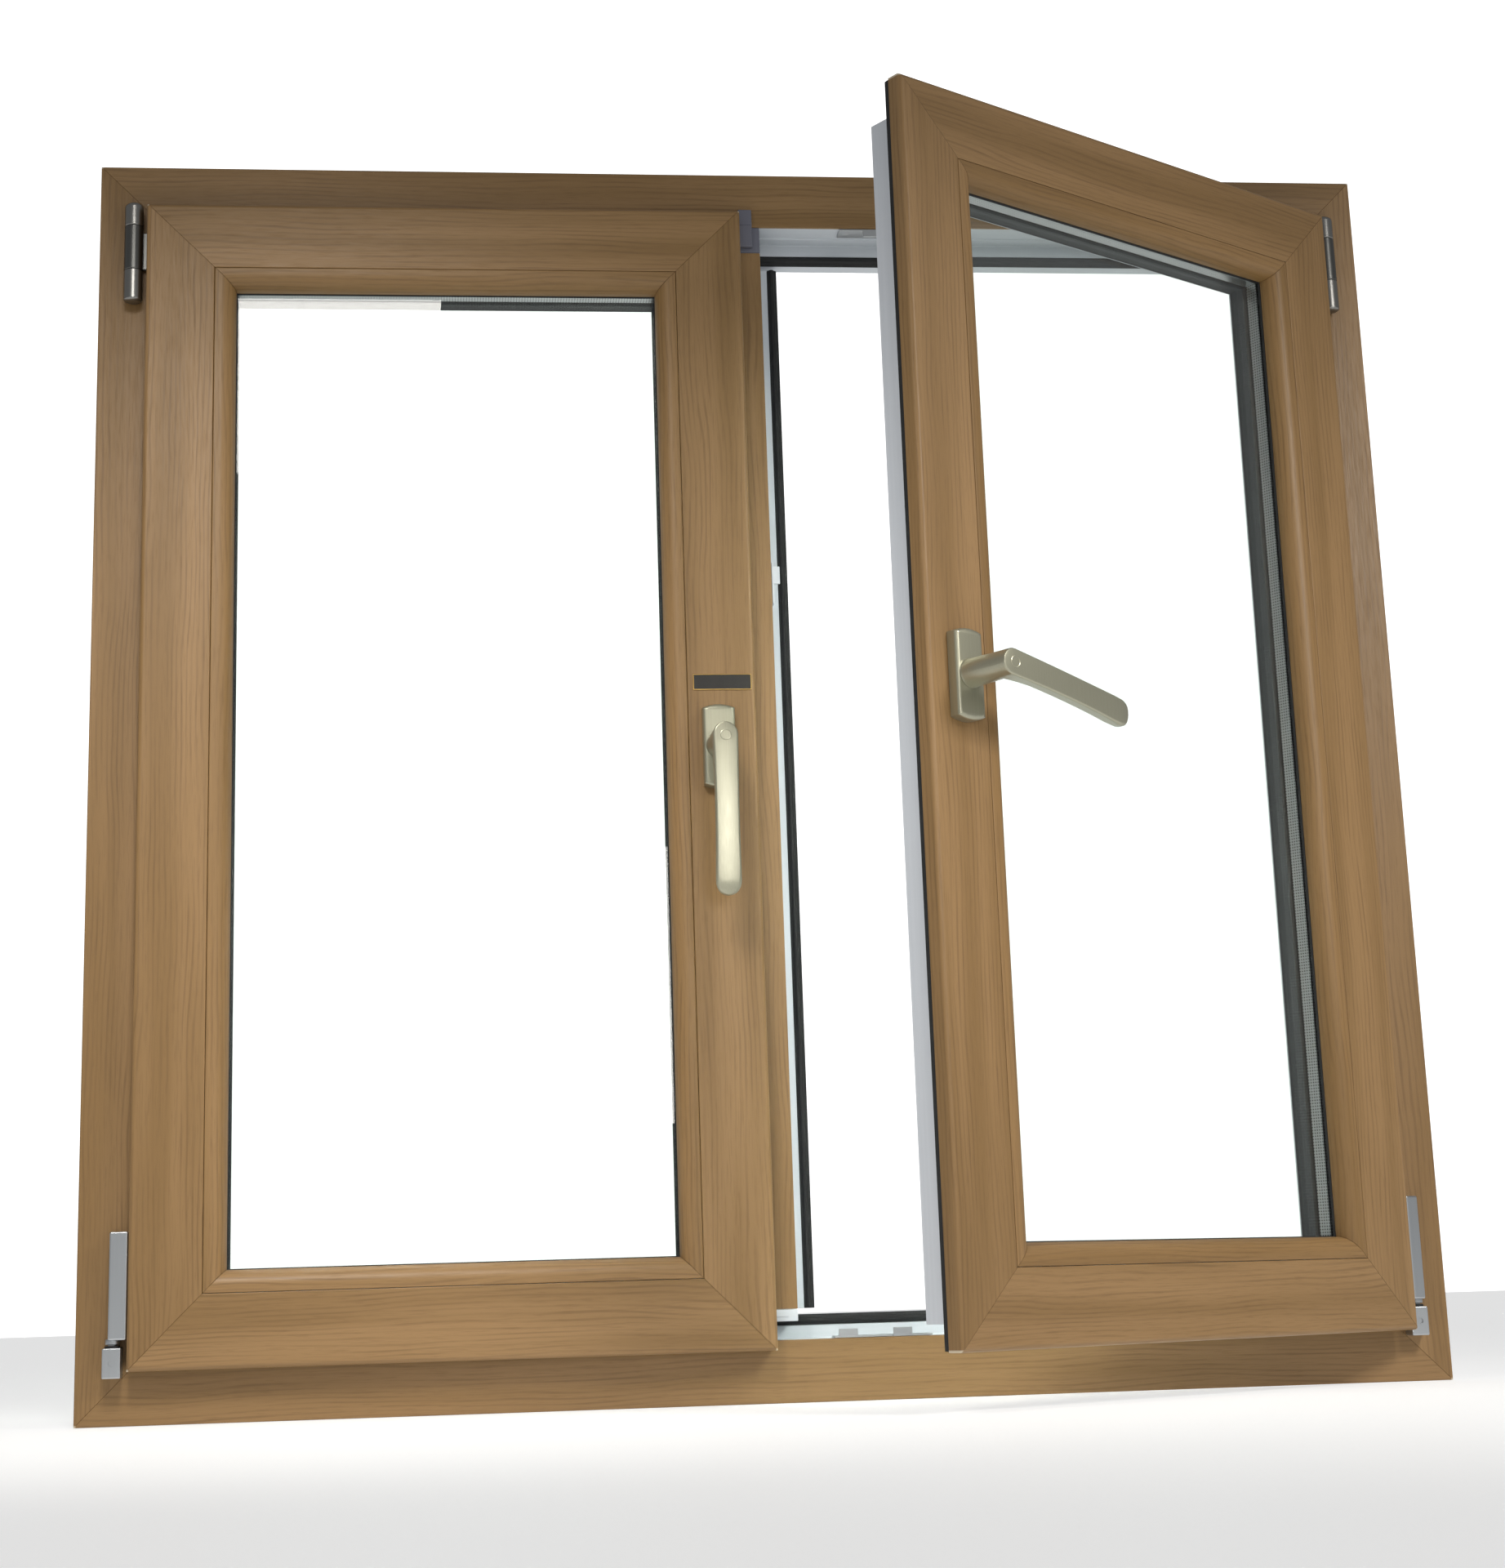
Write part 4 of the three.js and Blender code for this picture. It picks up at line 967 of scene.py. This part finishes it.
finish_off(top_cap, "left_sash", "cap_plastic", [CAP_PLASTIC], "mullion_cap_top")
low, high = shut_box("mullion_cap_bottom")
foot = block(low, high, edge=0.8)
foot_slot = cutter((low.x + 8, FACE_Y - 1, low.z + 3), (high.x - 8, FACE_Y + 0.8, low.z + 4))
foot_cap = fused("mullion_foot_cap", [foot], [foot_slot])
finish_off(foot_cap, "left_sash", "white_pvc", [WHITE_PVC], "mullion_cap_bottom")
print("caps at", round(cap_low.z), "and", round(low.z))

# %% [markdown]
# ## Upper hinges
#
# An upper hinge is three turned knuckles on one steel pin. The outer two belong to the frame and are
# bright satin nickel; the middle one belongs to the leaf and is darker. Turned parts always have a
# small chamfer at each shoulder, and those chamfers are what draws the dark ring where two meet.

# %% Upper hinges
KNUCKLE = 8.2
PIN = 3
CHAMFER = 0.5
RUNNING_GAP = 0.3
LOWER_DOME = 3
UPPER_DOME = 5
LUG_FRONT = 4.6  # from the hinge axis back to the lug
LUG_BACK = 8.4
HINGE_REACH = 11.7  # from the hinge axis to the far edge of what sits on the leaf


def hinge_line(side):
    """The hinge axis in millimetres, and which way in x the leaf lies (1 or -1)."""
    return Vector(joints[f"{side}_sash_hinge"]["pos_m"]) / MM, 1 if side == "left" else -1


def knuckle_end(bottom, top, dome):
    """Lathe points for one side of a knuckle, with a domed end of that height."""
    points = [(PIN, 0), (KNUCKLE - CHAMFER, 0), (KNUCKLE, CHAMFER)]
    for turn in range(0, 91, 10):
        rise = math.sin(math.radians(turn)) * dome
        points.append((KNUCKLE * math.cos(math.radians(turn)), top - bottom - dome + rise))
    return points


def upper_hinge(side):
    """Bracket, leaf knuckle and pin of one upper hinge."""
    axis, inward = hinge_line(side)
    bottom, top = (corner.z for corner in shut_box(f"upper_hinge_bracket_{side}"))
    low, high = (corner.z for corner in shut_box(f"upper_hinge_leaf_{side}"))
    lower_shoulder, upper_shoulder = low - RUNNING_GAP, high + RUNNING_GAP
    lower = [(r, lower_shoulder - h) for r, h in knuckle_end(bottom, lower_shoulder, LOWER_DOME)]
    upper = [(r, upper_shoulder + h) for r, h in knuckle_end(upper_shoulder, top, UPPER_DOME)]
    knuckles = [turned(lower[::-1] + upper, (axis.x, axis.y, 0))]
    for foot, head in ((bottom + 4, lower_shoulder - 3), (upper_shoulder + 3, top - 8)):
        knuckles.append(block((axis.x - 5, axis.y, foot), (axis.x + 5, FACE_Y - 0.3, head), edge=0.8))
    bracket = fused(f"upper_hinge_{side}_frame_knuckles", knuckles)
    finish_off(bracket, "frame", "hinge_steel", [SATIN_NICKEL], f"upper_hinge_bracket_{side}")
    bore = PIN + RUNNING_GAP
    wall = [
        (bore, low),
        (KNUCKLE - CHAMFER, low),
        (KNUCKLE, low + CHAMFER),
        (KNUCKLE, high - CHAMFER),
        (KNUCKLE - CHAMFER, high),
        (bore, high),
    ]
    barrel = turned(wall, (axis.x, axis.y, 0), bored=True)
    left, right = sorted((axis.x + inward * (bore + 1.5), axis.x + inward * HINGE_REACH))
    lug = block((left, axis.y + LUG_FRONT, low + 3), (right, axis.y + LUG_BACK, high - 3), edge=1.0)
    knuckle = fused(f"upper_hinge_{side}_leaf_knuckle", [barrel, lug])
    # The leaf knuckle is drawn in a darker copy of the satin nickel.
    finish_off(knuckle, f"{side}_sash", "hinge_steel", [DARKER_NICKEL_COPY], f"upper_hinge_leaf_{side}")


for side in ("left", "right"):
    upper_hinge(side)
print("upper hinge pin radius", PIN, "knuckle radius", KNUCKLE)

# %% [markdown]
# ## Lower hinges
#
# The lower hinge carries the leaf's weight. A die-cast cover bar on the leaf ends in a steel pivot pin,
# which stands in a bearing block on the frame. The bar is a long tapered slab with softened edges, and
# the bearing has a nylon bush that shows as a dark ring round the pin.

# %% Lower hinges
BUSH_FLOOR = 44  # this and the next three are heights above the bottom of the sill
BUSH_HEAD = 70
BAR_FOOT = 68
PIN_TOP = 72
BUSH_HOLE = 4.4


def lower_hinge(side):
    """Cover bar, pivot pin and bearing block of one lower hinge."""
    axis, inward = hinge_line(side)
    centre = (axis.x, axis.y, 0)
    low, high = shut_box(f"lower_hinge_bearing_{side}")
    cup = block(low, high, edge=1.2, segments=4)
    hole = [(0, BUSH_FLOOR), (BUSH_HOLE, BUSH_FLOOR), (BUSH_HOLE, BUSH_HEAD), (0, BUSH_HEAD)]
    adjuster = turned([(0, 0), (2.6, 0), (2.6, 3), (0, 3)], (axis.x, low.y + 1.2, 50), "Y", 24)
    bearing = fused(f"lower_hinge_{side}_bearing", [cup], [turned(hole, centre), adjuster])
    finish_off(bearing, "frame", "hinge_zinc", [DIE_CAST_ZINC], f"lower_hinge_bearing_{side}")
    sleeve = [(3.8, 44.3), (4.3, 44.3), (4.3, 62), (6.2, 62.1), (6.2, 63.4), (5.8, 63.8), (3.8, 63.8)]
    bush = turned(sleeve, centre, bored=True)
    bush.name = f"lower_hinge_{side}_bush"
    finish_off(bush, "frame", "epdm_gasket", [EPDM])
    low, high = shut_box(f"lower_hinge_leaf_{side}")
    left, right = sorted((axis.x - inward * 3, axis.x + inward * HINGE_REACH))
    slab = block((left, low.y, BAR_FOOT), (right, high.y, high.z), edge=1.6, segments=5)
    collar = turned([(0, 64.4), (5.4, 64.4), (6.0, 65.0), (6.0, 67.6), (5.6, 69), (0, 69)], centre)
    pin = turned([(0, low.z), (3.1, low.z), (3.6, low.z + 0.6), (3.6, PIN_TOP), (0, PIN_TOP)], centre)
    bar = fused(f"lower_hinge_{side}_cover_bar", [slab, collar, pin])
    finish_off(bar, f"{side}_sash", "hinge_zinc", [DIE_CAST_ZINC], f"lower_hinge_leaf_{side}")


for side in ("left", "right"):
    lower_hinge(side)

# %% [markdown]
# ## Screws
#
# Countersunk screws with a cross recess hold every keeper. The recess is two crossed slots cut into a
# turned head. The heads face in three directions, so the screw is built once for a line and laid over
# by the helper.

# %% Countersunk screws
HEAD = 3.1


def screw_heads(name, body, places, axis, toward):
    """Countersunk heads at places, whose flat tops look along axis in the toward direction (1 or -1)."""
    heads = []
    for place in places:
        rise = [(0, -1.8 * toward), (HEAD * 0.5, -1.8 * toward), (HEAD, 0), (0, 0.25 * toward)]
        head = turned(rise, (0, 0, 0), "Z", 24)
        cuts = [cutter((-1.9, -0.35, -0.7), (1.9, 0.35, 0.7)), cutter((-0.35, -1.9, -0.7), (0.35, 1.9, 0.7))]
        head = fused("head", [head], cuts)
        head.data.transform(Matrix.Translation(Vector(place) * MM) @ LAY[axis])
        heads.append(head)
    with bpy.context.temp_override(active_object=heads[0], selected_editable_objects=heads):
        bpy.ops.object.join()
    heads[0].name = name
    finish_off(heads[0], body, "lock_steel", [ZINC_PLATE], sharp=25)


# %% [markdown]
# ## Keepers
#
# The lock's cams slide behind hooks on the frame. Each keeper is a zinc-plated pressing: a flat base
# screwed in the rebate with one or two hooks folded up along its room-side edge. The ones on the head
# and the sill face up and down; the one on the mullion is moulded in white and faces the right leaf.

# %% Head, sill and mullion keepers
HOOK = 16
KEEPER_BASE = 1.7
SCREWS_BACK = 1.5  # how far the screws stand behind the middle of the base


def rail_keeper(node, hooks, screws, up):
    """A keeper on the sill (up=1) or the head (up=-1), with hooks starting at those places in x."""
    low, high = shut_box(node)
    seat, tip = (low.z, high.z) if up > 0 else (high.z, low.z)
    top = seat + up * KEEPER_BASE
    foot, head = sorted((seat, top))
    shapes = [block((low.x, low.y, foot), (high.x, high.y, head), edge=0.35)]
    foot, head = sorted((seat, tip))
    for x in hooks:
        shapes.append(block((x, low.y, foot), (x + HOOK, low.y + 2, head), edge=0.45))
    gaps = [cutter((x - 1.1, low.y - 1, seat - 5), (x - 0.5, high.y + 1, seat + 5)) for x in hooks[1:]]
    plate = fused(node + "_pressing", shapes, gaps)
    finish_off(plate, "frame", "keeper_zinc", [ZINC_PLATE], node)
    middle = (low.y + high.y) / 2 + SCREWS_BACK
    screw_heads(node + "_screws", "frame", [(x, middle, top) for x in screws], "Z", up)


rail_keeper("head_keeper", [112], [97, 124], -1)
rail_keeper("sill_keeper", [50, 96], [73, 87, 121], 1)
for node in ("bolt_plate_head", "bolt_plate_sill"):
    low, high = shut_box(node)
    strike = block(low, high, edge=0.4)
    opening = block(low + Vector((3, 3, -2)), high - Vector((3, 3, -2)), edge=0.8)
    pressing = fused(node + "_pressing", [strike], [opening])
    finish_off(pressing, "frame", "keeper_zinc", [ZINC_PLATE], node)
low, high = shut_box("mullion_keeper")
base = block(low, (low.x + KEEPER_BASE, high.y, high.z), edge=0.5)
hook = block((low.x, low.y, low.z + 18), (high.x, low.y + 2, high.z - 4), edge=0.6)
moulding = fused("mullion_keeper_moulding", [base, hook])
finish_off(moulding, "left_sash", "white_pvc", [WHITE_PVC], "mullion_keeper")
screws = [(low.x + KEEPER_BASE, (low.y + high.y) / 2 + 2, z) for z in (low.z + 7, high.z - 7)]
screw_heads("mullion_keeper_screws", "left_sash", screws, "X", 1)

# %% [markdown]
# ## Lock rods, cams and their face plates
#
# The right leaf's lock is a flat steel rod in the groove, driven by the handle, with round cams riveted
# to it. A slotted face plate covers the rod and lets the cams through. The rods slide on their own
# bodies, so rod and cams are one piece and the face plate, which is fixed, is another.
# They are drawn in the leaf's own terms (in from its edge, y, along the side) and then put in place.

# %% Lock rods and face plates
CAM = 4
CAM_TIP = FLANGE - 9
PLATE_THICK = 2
PLATE_HALF = 7.7
ROD_HALF = 5
PLATE_START = 46  # from the leaf's edge to the end of a face plate
LEFT_PLATE_START = 40
RAIL_PLATE_END = 330


def laid(made, place):
    """Moves a shape drawn as (inward, y, along) to its side of the leaf."""
    for vertex in made.data.vertices:
        vertex.co = Vector(place(*(vertex.co / MM))) * MM
    reworked(made.data, turn_outwards)
    return made


def groove_strip(start, end, edge, segments=3):
    """A flat bar that lies in the lock groove."""
    low = (PLATE_FLOOR + 0.3, GROOVE_Y - ROD_HALF, start)
    return block(low, (ROD_FLOOR - 0.3, GROOVE_Y + ROD_HALF, end), edge, segments)


def face_plate(name, place, start, end, slots=()):
    """The plate over the groove, put on its side of the leaf."""
    low = (PLATE_FLOOR - PLATE_THICK - 0.2, GROOVE_Y - PLATE_HALF, start)
    plate = block(low, (PLATE_FLOOR - 0.2, GROOVE_Y + PLATE_HALF, end), edge=0.5)
    cover = laid(fused(name, [plate], slots), place)
    finish_off(cover, name.split("_face")[0], "lock_steel", [ZINC_PLATE])


def lock_side(node, body, side, cams, plate_end, toward):
    """A rod with its cams, and the slotted plate over it, on one side of the right leaf."""
    travel = sorted(toward * reach / MM for reach in joints[body + "_slide"]["range_m"])
    place, _ = side_of(LEAF_RECTS["right_sash"], side)
    axis = 0 if side in ("top", "bottom") else 2
    origin = LEAF_RECTS["right_sash"][axis]
    start, end = (corner[axis] - origin for corner in shut_box(node))
    shapes, slots = [groove_strip(start, end, 0.3, 2)], []
    stem = CAM - 1.2
    for cam in cams:
        cam_profile = [
            (0, CAM_TIP),
            (CAM - 1, CAM_TIP),
            (CAM, CAM_TIP + 1),
            (CAM, CAM_TIP + 4),
            (stem, CAM_TIP + 4.6),
            (stem, ROD_FLOOR - 1),
            (0, ROD_FLOOR - 1),
        ]
        shapes.append(turned(cam_profile, (0, GROOVE_Y, cam - origin), "X", 32))
    rod = laid(fused(node + "_with_cams", shapes), place)
    finish_off(rod, body, "lock_steel", [ZINC_PLATE], node)
    for cam in cams:
        first, last = (cam - origin + reach for reach in travel)
        low = (FLANGE - 2, GROOVE_Y - CAM - 0.6, first - CAM - 1)
        slots.append(block(low, (FLANGE + 5, GROOVE_Y + CAM + 0.6, last + CAM + 1), edge=0.8))
    face_plate(f"right_sash_face_plate_{side}", place, PLATE_START, plate_end, slots)


leaf_height = LEAF_RECTS["right_sash"][3] - LEAF_RECTS["right_sash"][2]
lock_side("lock_rod_stile", "stile_rod", "left", [691], leaf_height - PLATE_START, 1)
lock_side("lock_rod_top", "top_rod", "top", [101], RAIL_PLATE_END, 1)
lock_side("lock_rod_bottom", "bottom_rod", "bottom", [77, 123], RAIL_PLATE_END, -1)

# %% Bolts and face plate of the left leaf
left_place, left_height = side_of(LEAF_RECTS["left_sash"], "right")
left_bottom = LEAF_RECTS["left_sash"][2]
for node, body in (("bolt_upper", "upper_bolt"), ("bolt_lower", "lower_bolt")):
    start, end = (corner.z - left_bottom for corner in shut_box(node))
    bolt = laid(fused(node + "_bar", [groove_strip(start, end, 0.6)]), left_place)
    finish_off(bolt, body, "lock_steel", [ZINC_PLATE], node)
face_plate("left_sash_face_plate", left_place, LEFT_PLATE_START, left_height - LEFT_PLATE_START)

# %% Gearbox cases behind the handles
for side in ("left", "right"):
    case = fused(f"gearbox_case_{side}", [block(*shut_box(f"gearbox_{side}"), edge=1.5)])
    finish_off(case, f"{side}_sash", "lock_steel", [ZINC_PLATE], f"gearbox_{side}")

# %% [markdown]
# ## Handles
#
# A handle is a rose screwed to the leaf and a lever that turns in it. The rose is a slab with gently
# arched ends. The lever is a casting: a round neck comes straight out of the rose and meets a blade
# with a nearly flat front, so the elbow has a crisp edge, and the blade tapers, bends back towards the
# leaf and ends in a soft round tip. A blade like this is a loft: a rounded section that changes width,
# depth and place as it goes down. The neck is turned, and the two are made one skin.

# %% Rose
ROSE_ARCH = 3


def rose(side, spindle):
    """The base plate of one handle, with rounded edges."""
    low, high = shut_box(f"handle_rose_{side}")
    half, middle = (high.x - low.x) / 2, (high.z + low.z) / 2
    shares = [step / 6 - 1 for step in range(13)]
    arch = [(share * half, ROSE_ARCH * (share * share)) for share in shares]
    outline = [(x, low.z + drop) for x, drop in arch] + [(-x, high.z - drop) for x, drop in arch]
    layers = ((0, high.y), (0, low.y + 3.2), (0.5, low.y + 1.5), (1.5, low.y + 0.5), (3, low.y))
    points = []
    for shrink, y in layers:
        fit_x = 1 - shrink / half
        fit_z = 1 - shrink / (high.z - middle)
        points += [(spindle.x + x * fit_x, y, middle + (z - middle) * fit_z) for x, z in outline]
    count, rings = len(outline), len(layers)
    faces = [*bands(count, rings), lid(count, 0), lid(count, rings - 1)]
    slab = mesh_piece(f"handle_rose_{side}_cover", points, faces)
    finish_off(slab, f"{side}_sash", "handle_champagne", [CHAMPAGNE], f"handle_rose_{side}", sharp=40)


# %% Lever
BLADE_TOP = 10.6  # radius of the blade's round top, and of the neck where they meet
BLADE_LENGTH = 135.5
BLADE_WAIST = 20.0
BLADE_TIP = 13  # length of the rounded tip


def blade_ring(drop, width, front, depth, corner, steps=5):
    """One rounded section of the blade, as (sideways, out, down) points."""
    half = width / 2
    nose = min(corner, half * 0.9, depth * 0.45)
    heel = min(corner * 2.2, half * 0.95, depth * 0.5)
    crown = front + 0.02 * width
    corners = (
        (half - nose, front - nose, nose, 0),
        (half - heel, front - depth + heel, heel, -90),
        (-half + heel, front - depth + heel, heel, -180),
        (-half + nose, front - nose, nose, -270),
    )
    ring = []
    for x, out, radius, start in corners:
        for k in range(steps + 1):
            turn = math.radians(start + 90 - 90 * k / steps)
            ring.append((x + radius * math.cos(turn), out + radius * math.sin(turn), -drop))
    return ring + [(-half * 0.35, crown, -drop), (half * 0.35, crown, -drop)]


def blade_shape(drop):
    """Width, front and depth of the blade that far below the spindle, all in millimetres."""
    share = max(0.0, min(1.0, drop / BLADE_LENGTH))
    flare = 4.8 if share < 0.5 else 10.0
    width = BLADE_WAIST + flare * (share - 0.5) ** 2
    front = 47.4 - 8.5 * share ** 2.2
    depth = 11.5 + 6 * max(0.0, 1 - drop / 26) ** 1.5
    return width, front, depth


def lever(side, spindle, lift):
    """One lever, drawn hanging straight down and then lifted by that angle towards its hinges."""
    drops = [-BLADE_TOP * math.cos(math.radians(a)) for a in (3, 12, 24, 38, 54, 72, 90)]
    rings = []
    for drop in [*drops, 8, 16, 26, 38, 52, 66, 80, 94, 105, 114]:
        width, front, depth = blade_shape(max(0, drop))
        if drop < 0:
            width *= math.sqrt(max(0.0, 1 - (drop / BLADE_TOP) ** 2))
        rings.append(blade_ring(drop, width, front, depth, 1.7))
    for turn in (0, 15, 30, 45, 58, 70, 80, 87):
        drop = BLADE_LENGTH - BLADE_TIP + BLADE_TIP * math.sin(math.radians(turn))
        width, front, depth = blade_shape(drop)
        easing = math.cos(math.radians(turn))
        thin = depth * (0.35 + 0.65 * easing)
        rings.append(blade_ring(drop, width * easing ** 0.85, front - (depth - thin) / 2, thin, 2.4))
    count = len(rings[0])
    faces = [lid(count, 0), lid(count, len(rings) - 1), *bands(count, len(rings))]
    points = [(spindle.x + x, spindle.y - out, spindle.z + z) for ring in rings for x, out, z in ring]
    blade = mesh_piece("blade", points, faces)
    stem = [(0, 0.2), (12, 0.2), (12, 1), (11.6, 1.6), (11.4, 8), (11, 22), (10.6, 36), (10.6, 42), (0, 42)]
    neck = turned(stem, spindle, "Y", 56)
    bead = [(3.7, -0.5), (3.95, 0.28), (4.35, 0.42), (4.75, 0.28), (5.0, -0.5)]
    centre = (spindle.x, spindle.y - blade_shape(1)[1] - 0.3, spindle.z - 1)
    ring = turned(bead, centre, "Y", 40, bored=True)
    casting = fused(f"handle_lever_{side}_casting", [neck, blade, ring])
    about = Matrix.Translation(spindle * MM)
    casting.data.transform(about @ Matrix.Rotation(math.radians(-lift), 4, "Y") @ about.inverted())
    node = f"handle_lever_{side}"
    finish_off(casting, f"{side}_handle", "handle_champagne", [CHAMPAGNE], node, sharp=38)


hanging = {"left": 0, "right": joints["right_handle_turn"]["range_deg"][1]}
for side, lift in hanging.items():
    turning_point = swing_of(f"{side}_sash").inverted() @ Vector(joints[f"{side}_handle_turn"]["pos_m"])
    rose(side, turning_point / MM)
    lever(side, turning_point / MM, lift)
print("handles done")

# %% [markdown]
# ## The small plate above the left handle
#
# A thin dark plate with a gilt rim is stuck above the left handle. Here it is left blank. The rim is a
# raised edge round a sunken field, so it is a real step in the mesh, and the field has a satin finish.

# %% Blank plate
DARK_LACQUER = streaked_plastic("dark_lacquered_field", "211D18", "181512", 0.6, 8, 1.2, 0.02)
GILT = plated_metal("gilt_rim", "C9A868", "B08E50", 0.35, 9, 1.0)
RIM = 0.7
low, high = shut_box("blank_badge")
field = block(low + Vector((0.5, 0.35, 0.5)), high - Vector((0.5, 0, 0.5)), edge=0.1, segments=1)
field.name = "blank_plate_field"
finish_off(field, "left_sash", "badge", [DARK_LACQUER], "blank_badge")
rim_hole = block(low + Vector((RIM, -1, RIM)), high - Vector((RIM, -1, RIM)), edge=0.2)
rim = fused("blank_plate_rim", [block(low, high, edge=0.25)], [rim_hole])
finish_off(rim, "left_sash", "badge", [GILT], "blank_badge")

# %% [markdown]
# ## Floor
#
# The floor is a wide sheet of opal acrylic just under the sill, softly lit from below as a light table
# is, so that it stays pale under so little lamp light. It is only a stage, not part of the window. A
# little unevenness in its colour and gloss keeps it from looking like an empty background.

# %% Pale floor
PALE_FLOOR = streaked_plastic("pale_floor", "BEBEBC", "B8B8B6", 0.6, 900, 900, 0.1)
FLOOR_HALF = 9000
FLOOR_GAP = 0.5
sheet = PALE_FLOOR.node_tree.nodes["Principled BSDF"].inputs
sheet["Emission Color"].default_value = hex_colour("FFFFFF")
sheet["Emission Strength"].default_value = 0.6
signs = ((-1, -1), (1, -1), (1, 1), (-1, 1))
corners = [(x * FLOOR_HALF, y * FLOOR_HALF, FRAME_RECT[2]) for x, y in signs]
floor = mesh_piece("pale_floor", corners, [(0, 1, 2, 3)])
floor.location.z = -FLOOR_GAP * MM
write_attribute(floor.data, "grain", [vertex.co for vertex in floor.data.vertices])
floor.data.materials.append(PALE_FLOOR)
